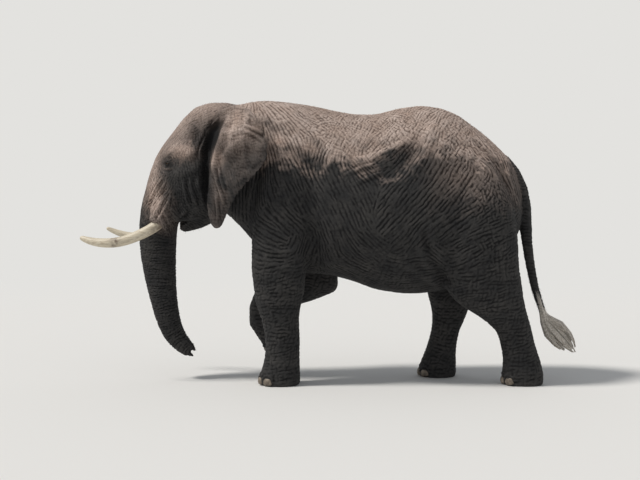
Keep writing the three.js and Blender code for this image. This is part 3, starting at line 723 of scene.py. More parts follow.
# %% Forms of the head
HEAD_LUMPS = [  # middle (ahead, above), radii, height, tilt
    ((-0.32, 0.31), (0.065, 0.17), -0.050, 18),  # temple
    ((0.00, 0.015), (0.065, 0.055), -0.022, 0),  # the eye's socket
    ((0.10, 0.00), (0.06, 0.12), -0.014, 0),  # before the eye
    ((-0.34, -0.33), (0.15, 0.19), 0.024, 0),  # muscle of the jaw
    ((-0.12, -0.44), (0.055, 0.17), -0.045, -8),  # between the cheek and the tusk's sheath
    ((-0.45, -0.15), (0.06, 0.20), -0.020, 0),  # before the ear's hanging edge
]
CLEFT_DEPTH = 0.12
CLEFT_HOLLOW = ((-0.52, 0.29), (0.21, 0.085), 0.11, -58)
EAR_CLEFT = [(-0.65, 0.54), (-0.58, 0.40), (-0.53, 0.28), (-0.48, 0.16), (-0.46, 0.04), (-0.46, -0.15),
             (-0.47, -0.42)]
HEAD_FOLDS = [  # line (ahead, above), height, half width, lean
    # brow, then the bag of the eye
    ([(0.09, 0.07), (0.02, 0.13), (-0.11, 0.165), (-0.25, 0.140), (-0.34, 0.05)], 0.040, 0.070, 0.2),
    ([(0.06, -0.03), (0.03, -0.055), (-0.005, -0.064), (-0.05, -0.040)], 0.011, 0.014, 0.0),
    ([(-0.04, -0.10), (-0.20, -0.12), (-0.42, -0.03)], 0.014, 0.050, 0.0),  # cheekbone
    # ridge before the cleft, then the ear's rolled front edge
    ([(-0.59, 0.54), (-0.51, 0.42), (-0.42, 0.26), (-0.375, 0.12), (-0.41, 0.02)], 0.036, 0.022, 0.3),
    ([(-0.74, 0.58), (-0.70, 0.42), (-0.66, 0.26), (-0.60, 0.12), (-0.57, 0.0), (-0.56, -0.2)],
     0.030, 0.036, 0.0),
    ([(-0.02, -0.76), (-0.10, -0.68), (-0.20, -0.62), (-0.27, -0.52)], -0.030, 0.022, 0.0),  # mouth
    ([(0.05, -0.12), (0.14, -0.25), (0.22, -0.36), (0.28, -0.52)], 0.020, 0.017, 0.2),  # folds of the face
    ([(0.02, -0.19), (0.10, -0.32), (0.17, -0.43), (0.23, -0.58)], 0.020, 0.017, 0.2),
    ([(-0.01, -0.28), (0.06, -0.41), (0.12, -0.52), (0.18, -0.64)], 0.020, 0.018, 0.2),
    ([(-0.04, -0.38), (0.02, -0.50), (0.07, -0.58), (0.12, -0.66)], 0.016, 0.016, 0.2),
    ([(-0.19, -0.16), (-0.22, -0.34), (-0.26, -0.50)], 0.016, 0.018, 0.0),  # folds of the cheek
    ([(-0.27, -0.12), (-0.30, -0.32), (-0.34, -0.52)], 0.016, 0.018, 0.0),
    ([(-0.36, -0.10), (-0.39, -0.30), (-0.41, -0.50)], 0.014, 0.020, 0.0),
    # bend of the ear, then the creases at its rear edge
    ([(-1.04, 0.34), (-0.93, 0.28), (-0.80, 0.18), (-0.68, 0.06), (-0.57, 0.06)], 0.013, 0.050, 0.3),
    ([(-0.93, 0.43), (-1.04, 0.39), (-1.18, 0.31)], 0.011, 0.016, 0.0),
    ([(-0.92, 0.37), (-1.05, 0.32), (-1.19, 0.23)], 0.010, 0.016, 0.0),
    ([(-0.56, 0.02), (-0.60, -0.14), (-0.68, -0.36), (-0.70, -0.50)], 0.018, 0.018, 0.0),  # of its lobe
    ([(-0.62, -0.02), (-0.67, -0.20), (-0.73, -0.36)], 0.016, 0.016, 0.0),
    ([(-0.60, -0.34), (-0.62, -0.50), (-0.61, -0.66)], 0.014, 0.014, 0.0),
]
LIP_AT, LIP_SIZE = (-0.13, 0, -0.66), (0.07, 0.16, 0.07)  # the lower lip
LIP_SWELL = 24 * MM
EAR_ROLLS = [  # swings of the whole flap, towards and away from the body
    ((-0.78, 0.30), (0.13, 0.26), 0.030, 10),
    ((-0.74, 0.19), (0.22, 0.11), 0.032, 24),  # above the bend the ear slopes out and catches the light
    ((-1.00, 0.12), (0.12, 0.22), -0.030, 0),
    ((-1.12, 0.34), (0.10, 0.10), -0.035, 0),
    ((-0.82, -0.18), (0.10, 0.16), 0.028, -30),
    ((-0.62, -0.45), (0.06, 0.18), 0.018, 0),
]
SHEATH_RINGS = [(-0.008, 0.018, 0.016), (-0.050, 0.014, -0.012), (-0.088, 0.020, 0.010),
                (-0.130, 0.018, -0.009), (-0.170, 0.024, 0.006)]  # behind the lip, half width, height
EDGE_WAVE = (8 * MM, 170 * MM)  # height and length of the waves of the ear's rear edge
print(len(HEAD_LUMPS), "lumps,", len(HEAD_FOLDS), "folds and", len(EAR_ROLLS), "swings of the ear")

# %% Model the head
normal = normals_of(points)
place = head_place(points)
head_map = place[:, [0, 2]]
head_out = np.sign(place[:, 1]) * (normal @ head_axes[:, 1])
relief = sum(lump(head_map, *row) for row in HEAD_LUMPS)
for line, height, width, lean in HEAD_FOLDS:
    relief += fold(head_map, line, height, width, banks=0.45 if width < 0.06 else 0.15, lean=lean)
# The cleft is a groove with a broad hollow at its upper end. The ear's free front edge sinks into it
# with both of its faces, and the side of the head is pressed in.
cleft = lump(head_map, *CLEFT_HOLLOW) + fold(head_map, EAR_CLEFT, 0.10, 0.05, 0)
cleft = CLEFT_DEPTH * np.tanh(cleft / CLEFT_DEPTH)
relief -= cleft * head_mask
relief *= smoothstep(0.1, 0.55, head_out) * np.clip(ear_mask + head_mask + masks["trunk"], 0, 1)
relief += LIP_SWELL * np.exp(-(((place - LIP_AT) / LIP_SIZE) ** 2).sum(1)) * head_mask
for at_lip, way in tusk_lips.values():
    gap = points - at_lip
    along_tusk = gap @ way
    off_tusk = np.linalg.norm(gap - along_tusk[:, None] * way, axis=1)
    close = smoothstep(0.20, 0.10, off_tusk) * np.clip(head_mask + masks["trunk"], 0, 1)
    for behind, half_width, height in SHEATH_RINGS:
        relief += height * close * np.exp(-(((along_tusk - behind) / half_width) ** 2))
roll = sum(lump(head_map, *row) for row in EAR_ROLLS)
edge_wave = EDGE_WAVE[0] * np.sin(place[:, 2] * 2 * math.pi / EDGE_WAVE[1] + 0.6)
edge_wave *= smoothstep(-0.90, -1.12, place[:, 0])
swing = (roll + edge_wave) * flap_of(ear_mask, place) - cleft * ear_mask
points += normal * relief[:, None]
points += np.sign(place[:, 1:2]) * head_axes[:, 1] * swing[:, None]
points = spread(points, net, 10, 0.6 * np.clip(cleft / CLEFT_DEPTH, 0, 1) * (ear_mask + head_mask))
points = points.astype(float)
print("head modelled", round(time.time() - started, 1), "s")

# %% [markdown]
# ## Lids
# An elephant's eye is small and lies behind thick wrinkled lids. The lids lie on the eyeball and leave an
# almond-shaped slit. They could be cut out and thickened, but the skin would have a hole there. Here the
# hide inside the slit is sunk into the ball, where it can't be seen, and rings of folds run round the
# lids.

# %% Lids round each eye
LID = 4.5 * MM
SLIT = (19 * MM, 12.5 * MM)  # half the length and half the height of the slit
LIDS_REACH = 75 * MM
normal = normals_of(points)
eye_frames = {}
for side in (LEFT, RIGHT):
    gap = points - eyes[side]
    near = np.flatnonzero(np.linalg.norm(gap, axis=1) < 1.6 * LIDS_REACH)
    outward = unit(normal[near].mean(0))
    forward = unit(to_front - outward * (to_front @ outward))
    upward = np.cross(outward, forward) * side
    upward *= np.sign(upward[2])
    eye_frames[side] = (outward, forward, upward)
    flat = np.stack([gap[near] @ forward, gap[near] @ upward], 1)
    height = gap[near] @ outward
    radius = np.hypot(*flat.T)
    turned = flat @ np.array([[0.97, 0.24], [-0.24, 0.97]])  # the slit's front corner is the lower one
    slit = np.hypot(turned[:, 0] / SLIT[0], turned[:, 1] / SLIT[1])
    on_ball = np.sqrt(np.maximum((eye_radius + LID) ** 2 - radius ** 2, 0.2 * eye_radius ** 2))
    rings = 2.2 * MM * np.cos((slit - 1) * 2 * math.pi / 0.62) * np.exp(-(((slit - 1.7) / 1.2) ** 2))
    upper = 5 * MM * np.exp(-(((slit - 1.45) / 0.25) ** 2)) * smoothstep(-0.2, 0.8, turned[:, 1] / SLIT[1])
    lids = on_ball + rings + upper
    blend = smoothstep(LIDS_REACH, 1.35 * eye_radius, radius)
    raised = height + blend * (lids - height)
    raised = np.where(slit < 1, np.minimum(raised, 0.1 * eye_radius), raised)
    facing_out = smoothstep(0.0, 0.3, normal[near] @ outward)
    points[near] += ((raised - height) * facing_out)[:, None] * outward
    highest = float(height[radius < 0.5 * eye_radius].max())
    print("eye", side, "was", round(highest / MM), "mm under the hide")

# %% [markdown]
# ## Wrinkles
# Hide creases across the way it bends: in rings round the trunk, the legs and the tail, upright on the
# neck, slanting down the haunch, round the elbow. Guides say which way the lines run at a few places,
# and every point blends the guides near it. A noise texture would give blobs there, and a wave texture
# ruled lines that don't turn with the body. So short runs of ripples are laid on the skin along that
# direction, and they settle in step with their neighbours. Where a ripple peaks, a crease is cut. A second
# set crosses the first at an angle and nets the hide, and a third, broad one gathers the creases in
# folds.

# %% Which way the creases run
normal = normals_of(points)
place = head_place(points)
side_map = points[:, [0, 2]]
head_map = place[:, [0, 2]]
first = np.where((np.abs(normal[:, 0]) > 0.8)[:, None], [[0.0, 1.0, 0.0]], [[1.0, 0.0, 0.0]])
first = unit(first - normal * (first * normal).sum(1, keepdims=True))
second = np.cross(normal, first)
grain = np.zeros((len(points), 2))  # the blended direction as a doubled angle, so that a line has no head


def add_grain(direction, weight):
    c, s = (direction * first).sum(1), (direction * second).sum(1)
    size = np.maximum(c * c + s * s, 1e-9)
    grain[:, 0] += weight * (c * c - s * s) / size
    grain[:, 1] += weight * 2 * c * s / size


def ring_about(axis, lean=0.0):
    """The way round an axis on the skin. `lean` turns it, in degrees, the same on both sides."""
    ring = unit(np.cross(axis, normal))
    along = np.cross(normal, ring) * -np.sign(points[:, 1:2])
    turn = math.radians(lean)
    return math.cos(turn) * ring + math.sin(turn) * along


# %% Guides for the body, the legs and the tail
BODY_GRAIN = [  # x, z, angle in degrees on the left side, counted up from the tail's direction, reach
    (1.03, 2.78, 65, 0.24), (0.96, 2.46, 50, 0.16), (1.22, 2.44, 68, 0.20), (0.85, 2.09, 48, 0.24),
    (1.12, 2.18, 52, 0.20), (0.68, 1.86, 44, 0.22), (1.10, 1.88, 38, 0.22), (1.37, 1.75, 32, 0.24),
    (1.38, 2.20, 50, 0.22), (0.86, 1.66, 60, 0.12), (1.20, 1.53, -45, 0.13), (1.63, 2.09, 50, 0.20),
    (1.80, 1.83, 18, 0.20), (1.72, 1.49, 28, 0.22), (1.37, 2.69, 62, 0.20), (1.65, 2.62, -38, 0.16),
    (1.95, 2.20, -62, 0.16), (-0.44, 3.05, -50, 0.20), (-0.15, 2.96, -30, 0.20), (-0.10, 2.68, 62, 0.16),
    (-0.50, 2.72, -66, 0.20), (-0.39, 2.30, -66, 0.25), (-0.18, 2.08, -62, 0.22), (-0.53, 1.87, -42, 0.16),
    (-0.72, 1.68, -28, 0.16), (-0.27, 1.83, -38, 0.12), (0.16, 2.05, -62, 0.30), (0.05, 1.72, -68, 0.20),
    (0.38, 2.42, -42, 0.14), (0.62, 2.58, 28, 0.15), (0.45, 1.18, -12, 0.26), (0.90, 1.15, 8, 0.26),
    (0.45, 1.55, -40, 0.20), (0.25, 2.90, 68, 0.26), (0.70, 2.86, 56, 0.24), (-0.32, 1.60, 66, 0.15),
    (-0.56, 1.36, 4, 0.20), (-0.80, 1.46, -16, 0.14), (-0.95, 2.50, 84, 0.30),
]
PULL_OF_RINGS = 0.02  # how strongly rings round the body count where no guide is near
around_body = ring_about((1, 0, 0))
weight_sum = PULL_OF_RINGS + sum(nearness(side_map, (x, z), reach) for x, z, _, reach in BODY_GRAIN)
body_part = masks["torso"] + masks["neck"] + leg_mask * smoothstep(1.1, 1.5, points[:, 2])
add_grain(around_body, PULL_OF_RINGS / weight_sum * body_part)
climb = around_body * np.where((around_body[:, 2] >= 0) | (np.abs(normal[:, 2]) > 0.95), 1, -1)[:, None]
level = np.cross(climb, normal)
level *= np.sign(level[:, 0:1] + 1e-9)
for x, z, angle, reach in BODY_GRAIN:
    turn = math.radians(angle)
    pull = nearness(side_map, (x, z), reach) / weight_sum * body_part
    add_grain(math.cos(turn) * level + math.sin(turn) * climb, pull)
pillar = leg_mask * smoothstep(1.5, 1.1, points[:, 2])
add_grain(ring_about((0, 0, 1), 8), pillar)
add_grain(ring_about((0.1, 0, 1)), masks["tail"])
print(len(BODY_GRAIN), "guides on the body")

# %% Guides for the trunk and the head
# The trunk leans back more and more towards its tip: heights, and degrees of lean.
TRUNK_LEAN = ([0.30, 0.38, 0.45, 0.55, 0.70, 0.90, 1.20, 2.10], [54, 48, 38, 27, 17, 10, 2, -10])
lean = np.radians(np.interp(points[:, 2], *TRUNK_LEAN))
trunk_axis = -np.cos(lean)[:, None] * [[0, 0, 1.0]] - np.sin(lean)[:, None] * to_front
add_grain(ring_about(trunk_axis), masks["trunk"])
HEAD_GRAIN = [  # ahead, above, angle on the left side, reach
    (0.10, -0.35, 56, 0.16), (-0.28, -0.28, -76, 0.20), (0.10, 0.05, 66, 0.14), (-0.20, 0.55, 20, 0.24),
    (-0.10, 0.30, 35, 0.16), (0.20, -0.55, 30, 0.12), (-0.20, -0.62, -40, 0.14), (-0.35, 0.20, -70, 0.14),
]
forward_level = unit(to_front - normal * (normal @ to_front)[:, None])
head_climb = np.cross(normal, forward_level)
head_climb *= np.where(head_climb[:, 2:3] >= 0, 1, -1)
for ahead, above, angle, reach in HEAD_GRAIN:
    turn = math.radians(angle)
    pull = nearness(head_map, (ahead, above), reach) * head_mask
    add_grain(-math.cos(turn) * forward_level + math.sin(turn) * head_climb, pull)
for eye in eyes.values():
    add_grain(np.cross(normal, points - eye), 4 * nearness(points, eye, 0.11) * head_mask)
for at_lip, way in tusk_lips.values():
    pull = 2.5 * nearness(points, at_lip, 0.13)
    add_grain(ring_about(way), pull * np.clip(head_mask + masks["trunk"], 0, 1))
add_grain(ring_about(to_front + np.array([0, 0, 0.3])), 0.05 * head_mask)
add_grain(ring_about(to_front, 15), ear_mask)
turn = 0.5 * np.arctan2(grain[:, 1], grain[:, 0])
print("grain", round(time.time() - started, 1), "s")

# %% Skin in cells and patches
corner_a, corner_b, corner_c = (points[triangles[:, k]] for k in range(3))
face_area = np.linalg.norm(np.cross(corner_b - corner_a, corner_c - corner_a), axis=1) / 2
skin_share = sum(np.bincount(triangles[:, k], face_area / 3, len(points)) for k in range(3))
WAVE_CELL = 0.12
cell_of = np.floor((points - points.min(0)) / WAVE_CELL).astype(np.int64) @ (1, 1000, 1000000)
in_order = np.argsort(cell_of, kind="stable")
cell_starts = np.flatnonzero(np.diff(cell_of[in_order], prepend=-1))
cells = np.split(in_order, cell_starts[1:])
print("skin", round(float(skin_share.sum()), 1), "square metres in", len(cells), "cells")


def patches(seed, rounds):
    """Soft random patches over the skin, about as wide as `rounds` of evening out reach."""
    values = np.random.default_rng(seed).standard_normal(len(points))
    values = spread(values, net, rounds, 0.8)
    return np.clip(values / (2.5 * values.std()), -1, 1)


# %% Waves along the grain
def waves(seed, swing, spacing, length=1.8, settling=3, stray=0.0):
    """Parallel ripples along the grain, or `swing` degrees off it, `spacing` apart. Each seed of a ripple
    is a short run of straight waves round one point of the skin, `length` spacings long, turned at random
    by up to `stray` degrees. The seeds settle in step with their neighbours. Gives the wave, from -1 to
    1, and how well the seeds agree there."""
    random = np.random.default_rng(seed)
    angle = turn + np.radians(swing + stray * random.uniform(-1, 1, len(points)))
    along = np.cos(angle)[:, None] * first + np.sin(angle)[:, None] * second
    across = np.cross(normal, along)
    chosen = np.flatnonzero(random.random(len(points)) < 0.9 * skin_share / spacing ** 2)
    seed_at, seed_across, seed_along, seed_out = (x[chosen] for x in (points, across, along, normal))
    pace = spacing[chosen] * random.uniform(0.8, 1.25, len(chosen))
    phase = random.uniform(0, 2 * math.pi, len(chosen))
    tree = KDTree(len(chosen))
    for i, spot in enumerate(seed_at):
        tree.insert(spot, i)
    tree.balance()

    def meet(spots, ways, outs, near):
        """Weight, sign and wave angle without the seed's own phase, for spots against seeds."""
        gap = spots - seed_at[near]
        a = (gap * seed_along[near]).sum(-1) / (length * pace[near])
        b = (gap * seed_across[near]).sum(-1) / pace[near]
        c = (gap * seed_out[near]).sum(-1) / (0.6 * pace[near])
        weight = np.exp(-a * a - 1.4 * b * b - c * c) * np.maximum((outs * seed_out[near]).sum(-1), 0)
        return weight, np.where((ways * seed_across[near]).sum(-1) < 0, -1.0, 1.0), 2 * math.pi * b

    one, other = [], []
    for i, spot in enumerate(seed_at):
        found = [hit[1] for hit in tree.find_range(spot, 2.0 * length * pace[i])]
        one.append(np.full(len(found), i))
        other.append(found)
    one, other = np.concatenate(one), np.concatenate(other).astype(np.int64)
    weight, sign, swept = meet(seed_at[one], seed_across[one], seed_out[one], other)
    for _ in range(settling):
        angle_there = sign * (swept + phase[other])
        c = np.bincount(one, weight * np.cos(angle_there), len(chosen))
        s = np.bincount(one, weight * np.sin(angle_there), len(chosen))
        phase = np.arctan2(s, c)
    wobble = 0.9 * patches(seed + 100, 5)
    wave, agreed = np.zeros(len(points)), np.zeros(len(points))
    for cell in cells:
        middle = points[cell].mean(0)
        reach = 1.9 * length * float(spacing[cell].max()) + 0.87 * WAVE_CELL
        near = np.array([hit[1] for hit in tree.find_range(middle, reach)], np.int64)
        if len(near) == 0:
            continue
        weight, sign, swept = meet(points[cell][:, None], across[cell][:, None], normal[cell][:, None],
                                   near[None])
        angle_there = sign * (swept + phase[near])
        c, s = (weight * np.cos(angle_there)).sum(1), (weight * np.sin(angle_there)).sum(1)
        wave[cell] = np.cos(np.arctan2(s, c) + wobble[cell])
        agreed[cell] = np.hypot(c, s) / np.maximum(weight.sum(1), 1e-9)
    print("waves", swing, "off the grain:", len(chosen), "seeds", round(time.time() - started, 1), "s")
    return wave, agreed


# %% [markdown]
# How deep the creases are differs over the body: deep on the haunch, neck, trunk and joints, shallow on
# the belly and the ears. They lie 3 to 4 cm apart, closer on the face, the ears and the trunk. A single
# depth would look knitted, so both are blended from places, and soft random patches fade them.

# %% Depth and distance of the creases
def blended(rows, otherwise, pull):
    """An amount over the body, from the places that state it. `pull` is how strongly `otherwise` counts."""
    weight = np.full(len(points), pull)
    total = pull * np.full(len(points), otherwise)
    for x, z, reach, value in rows:
        near = nearness(side_map, (x, z), reach)
        weight += near
        total += near * value
    return total / weight


DEPTHS = [  # x, z, reach, depth in mm
    (1.5, 2.2, 0.55, 7.5), (0.9, 2.4, 0.3, 7), (0.3, 1.9, 0.5, 5.5), (0.6, 1.2, 0.4, 3.5),
    (1.2, 1.4, 0.3, 6), (-0.6, 2.5, 0.4, 7.5), (-0.5, 1.6, 0.35, 7), (0.4, 2.95, 0.5, 3.6),
    (1.2, 2.95, 0.4, 4.2), (1.7, 1.4, 0.4, 6), (-0.95, 2.3, 0.3, 8),
]
NETTED = [  # x, z, reach: where the crossing creases are as deep as the main ones
    (1.75, 2.05, 0.30), (1.45, 2.75, 0.35), (0.75, 2.92, 0.48), (0.10, 2.95, 0.45), (0.60, 1.15, 0.40),
    (1.80, 1.50, 0.25),
]
SPACINGS = [  # x, z, reach, distance between creases in metres
    (1.2, 2.1, 0.6, 0.043), (0.2, 2.0, 0.5, 0.040), (-0.6, 2.6, 0.4, 0.036), (0.5, 2.92, 0.55, 0.031),
    (-0.6, 1.7, 0.4, 0.041), (0.6, 1.2, 0.5, 0.040), (1.75, 2.0, 0.25, 0.034),
    (1.45, 2.75, 0.25, 0.036),
]
depth = blended(DEPTHS, 5.0, 0.05) * body_part + 5.0 * pillar + 5.5 * masks["trunk"] + 4.0 * masks["tail"]
face_depth = 1.6 + 3.4 * smoothstep(0.06, -0.22, place[:, 2])
face_depth += 1.5 * np.exp(-(((place[:, 0] + 0.36) / 0.10) ** 2) - (((place[:, 2] - 0.30) / 0.22) ** 2))
depth += face_depth * head_mask + 1.1 * ear_mask
depth *= smoothstep(0.0, 0.07, points[:, 2]) * MM
netted = np.full(len(points), 0.22)
for x, z, reach in NETTED:
    netted = np.maximum(netted, 0.9 * nearness(side_map, (x, z), reach))
netted = body_part * netted + 0.6 * pillar + 0.45 * masks["trunk"] + 0.5 * masks["tail"]
netted += 0.55 * head_mask + 0.9 * ear_mask
spacing = blended(SPACINGS, 0.05, 0.02) * body_part + 0.038 * pillar + 0.032 * masks["trunk"]
spacing += 0.034 * masks["tail"] + 0.029 * head_mask + 0.030 * ear_mask
spacing = np.clip(spread(spacing, net, 8) * (1 + 0.22 * patches(50, 30)), 0.027, 0.07)
print("creases up to", round(float(depth.max()) / MM, 1), "mm deep,", round(float(spacing.min()) / MM),
      "to", round(float(spacing.max()) / MM), "mm apart")

# %% Cut the creases
main_wave, main_agreed = waves(41, 0, spacing, length=2.2, settling=4, stray=3 + 26 * netted)
cross_wave, cross_agreed = waves(42, 66, 1.2 * spacing, length=1.0, stray=30)
broad_wave, broad_agreed = waves(43, -6, 3.1 * spacing, stray=10)


def valley(wave, agreed, sharpness):
    """1 in the middle of a crease and 0 on the plump hide between. It fades where ripples meet badly."""
    return ((1 + wave) / 2) ** sharpness * smoothstep(0.1, 0.6, agreed)


main_crease = valley(main_wave, main_agreed, 1.9) * np.clip(0.70 + 0.75 * patches(51, 12), 0.12, 1)
cross_crease = netted * valley(cross_wave, cross_agreed, 2.0) * np.clip(0.7 + 0.7 * patches(52, 10), 0, 1)
broad_crease = valley(broad_wave, broad_agreed, 5.0)
cut = main_crease + cross_crease - main_crease * cross_crease
for eye in eyes.values():  # the lids stay nearly smooth
    cut = cut * (0.2 + 0.8 * smoothstep(0.03, 0.09, np.linalg.norm(points - eye, axis=1)))
rise = -1.5 * depth * (cut - 0.4) - 0.5 * depth * broad_crease
points += normal * rise[:, None]
points[:, 2] = np.maximum(points[:, 2], 0)
print("creased", round(time.time() - started, 1), "s")
write_points(skin_mesh, points)

# %% [markdown]
# ## Where dust and painted light lie, and where they don't
# Elephants powder themselves: reddish dust lies on the back, the rump, the brow and the ears, and lies
# thinner in the creases than on the plump hide between. The flanks, legs and trunk stay charcoal. The
# dust is laid thickest where the hide faces up, so it also stands for light from above: painted light,
# with painted highlights on the brow, the upper ear and the bag of the eye. Hollows get painted shade,
# as little light and no rubbing reaches them. A picture wrapped round the body could carry this, but it
# would need a fine unwrap. The amounts are kept on the points instead, and the finish below mixes its
# colours by them.

# %% Where the dust and the painted light lie
normal = normals_of(points)
place = head_place(points)
head_map = place[:, [0, 2]]
soft_up = spread(normal[:, 2], net, 30)
drift = 0.6 * patches(21, 40) + 0.4 * patches(22, 8)
height = points[:, 2] + 0.16 * drift - 0.16 * (cut - 0.4)
# Dust and painted light: the back is paler the more its hide faces up, as where light falls from above.
back_dust_and_light = smoothstep(2.36, 2.62, height) * smoothstep(-0.05, 0.55, soft_up + 0.25 * drift)
haunch_dust = 0.35 * smoothstep(1.9, 2.5, height) * smoothstep(0.9, 1.5, points[:, 0])
# On the head the dust lies on the crown and the brow, and down the front to the sheaths of the tusks.
# These spots are also painted light, and on the brow a painted highlight.
head_spot = head_map + 0.05 * np.stack([drift, -drift], 1)
DUSTY_AND_LIT_SPOTS = [  # middle (ahead, above), radii, amount, tilt
    ((-0.18, 0.15), (0.20, 0.09), 1.0, 0),  # brow
    ((0.02, 0.46), (0.34, 0.26), 0.9, 0),  # forehead
    ((-0.45, 0.70), (0.50, 0.20), 0.9, 10),  # crown
    ((0.16, -0.42), (0.13, 0.26), 1.0, -14),  # folds above the tusk
    ((0.22, 0.05), (0.12, 0.30), 0.75, 0),
]
# Spots kept bare of dust, with painted shade where the hide lies in shadow: the eye's socket, the cleft
# before the ear and the temple's hollow.
BARE_AND_SHADED_SPOTS = [
    ((0.00, 0.00), (0.090, 0.070), 1.0, 0),  # round the eye
    ((-0.52, 0.28), (0.24, 0.11), 1.0, -58),  # cleft before the ear
    ((-0.33, 0.30), (0.17, 0.06), 0.6, 72),  # temple
]
# Dust and painted light on the ear: paler above the bend, where the flap faces up, and on its rolled front
# edge.
EAR_DUST_AND_LIGHT = [
    ((-0.80, 0.46), (0.32, 0.27), 1.0, 12),  # above the bend
    ((-0.58, 0.05), (0.10, 0.10), 0.75, 0),  # rolled front edge
    ((-0.62, -0.30), (0.05, 0.22), 0.20, 0),  # lobe
]
head_dust_and_light = np.minimum(sum(lump(head_spot, *row) for row in DUSTY_AND_LIT_SPOTS), 1)
bare_and_shaded_share = np.minimum(sum(lump(head_spot, *row) for row in BARE_AND_SHADED_SPOTS), 1)
head_dust_and_light *= 1 - bare_and_shaded_share
# A painted highlight on the bag of the eye.
head_dust_and_light += lump(head_map, (0.00, -0.060), (0.050, 0.014), 0.2)  # the bag of the eye
ear_dust_and_light = (0.06 + sum(lump(head_spot, *row) for row in EAR_DUST_AND_LIGHT) + 0.12 * drift) * (1 - bare_and_shaded_share)
# Painted shade: the hollow of the flank is kept bare of dust, so it stays dark.
hollow_spot = points[:, [0, 2]] + 0.03 * np.stack([drift, -drift], 1)
back_dust_and_light *= 1 - np.minimum(lump(hollow_spot, (0.72, 2.46), (0.34, 0.12), 1.1, 32), 1)
torso_part = np.clip(1 - ear_mask - head_mask - masks["trunk"], 0, 1)
dust_and_light = torso_part * np.maximum(back_dust_and_light, haunch_dust) + head_mask * head_dust_and_light + ear_mask * ear_dust_and_light
# No light and no dust reach the bottom of the cleft before the ear, so it is kept bare of dust and, in
# the next cell, gets painted shade.
off_cleft, passed = from_line(head_spot, EAR_CLEFT, 0.2)
dark_cleft = np.exp(-((off_cleft / 0.055) ** 2)) * smoothstep(0, 0.2, passed)
dark_cleft = np.maximum(dark_cleft, lump(head_spot, (-0.52, 0.28), (0.22, 0.085), 1.2, -58))
dark_cleft = np.clip(dark_cleft, 0, 1) * (1 - masks["torso"])
dust_and_light = np.clip(dust_and_light, 0, 1) * (1 - 0.9 * masks["tail"]) * (1 - dark_cleft)
write_value(skin_mesh, "dust_and_light", dust_and_light)
print("dusty share of the skin:", round(float((dust_and_light * skin_share).sum() / skin_share.sum()), 2))

# %% Painted shade: in creases, hollows, the cleft, the mouth's corner and the eye's socket
# Painted shade: the deeper a point lies in a crease or a hollow, the nearer its colour is mixed to black.
hollow = ((spread(points, net, 3) - points) * normal).sum(1) / (2.0 * MM)
wide_hollow = ((spread(points, net, 40) - points) * normal).sum(1) / (16 * MM)
painted_shade = 0.27 + 0.54 * cut + 0.18 * broad_crease + 0.25 * hollow + 0.40 * wide_hollow
# Painted shade at the bottom of the cleft, at the mouth's corner and in the eye's socket.
painted_shade += 0.9 * dark_cleft + head_mask * lump(head_spot, (-0.19, -0.48), (0.055, 0.15), 0.5)
painted_shade += head_mask * lump(head_map, (0.00, 0.005), (0.065, 0.050), 0.45)
# The points keep this painted shade under the name crease.
write_value(skin_mesh, "crease", np.clip(painted_shade, 0, 1))
print("shaded", round(time.time() - started, 1), "s")

# %% [markdown]
# ## Hide
# Live hide is thick dry leather with no shine: bare charcoal skin, paler where it is rubbed, with dust
# in warm grey-pink over it. The bare tones are painted darker than the hide's own grey, as painted
# shade for the flanks, legs and trunk, and creases, hollows and cracks take painted shade of near black.
# Between the creases it is crazed into plates about two centimetres wide, and the plates are grained by
# papillae of a few millimetres. The crazing is drawn with the cell edges of a Voronoi pattern, which
# meet in threes as real cracks do. All of this fine relief is a bump, as it is thinner than the net's
# squares.

# %% The hide's pattern
# Painted shade: the bare tones are darker than the hide's own grey, to stand for the shade on the flanks,
# legs and trunk, and the crevice tones are near black.
BARE_IN_SHADE, RUBBED, CREVICE_SHADE = linear("#2b2b2c"), linear("#474543"), linear("#08080a")
DUST, DUSTY_CREVICE_SHADE, SOIL = linear("#e2cec2"), linear("#75645a"), linear("#c0a798")
PLATE = 19 * MM  # width of a plate of crazed hide
GRAIN_SIZE = 7 * MM  # papillae are 2 to 3 mm; drawn coarser, so that they show
BLOTCH = 200 * MM  # rubbed and soiled patches

# Skin grown and dried in the sun: rough at every scale, so light scatters and only a dull sheen is left.
# Its colours carry painted shade in creases, hollows and cracks, and painted light with the dust.
hide_finish, hide_shader = new_material("dusty_hide_with_painted_light")
place_on_hide = add_node(hide_finish, "TexCoord", output="Object")
shift = add_node(hide_finish, "TexNoise", {"Vector": place_on_hide, "Scale": 0.6 / PLATE, "Detail": 3.0},
                 "Color")
bent = add_node(hide_finish, "VectorMath", {0: shift, 1: (0.9 * PLATE,) * 3, 2: place_on_hide},
                operation="MULTIPLY_ADD")
plates, small_plates = (add_node(hide_finish, "TexVoronoi", {"Vector": bent, "Scale": finer / PLATE},
                                 "Distance", feature="DISTANCE_TO_EDGE") for finer in (1, 2.4))
crack, small_crack = (add_node(hide_finish, "MapRange", {"Value": to_edge, "From Max": width, "To Min": 1.0,
                               "To Max": 0.0}) for to_edge, width in ((plates, 0.16), (small_plates, 0.20)))
papillae = add_node(hide_finish, "TexNoise", {"Vector": place_on_hide, "Scale": 1 / GRAIN_SIZE,
                    "Detail": 4.0, "Roughness": 0.6})
blotches = add_node(hide_finish, "TexNoise", {"Vector": place_on_hide, "Scale": 1 / BLOTCH, "Detail": 6.0,
                    "Roughness": 0.62})
print("plates", round(PLATE / MM), "mm, papillae", round(GRAIN_SIZE / MM), "mm, blotches", BLOTCH, "m")

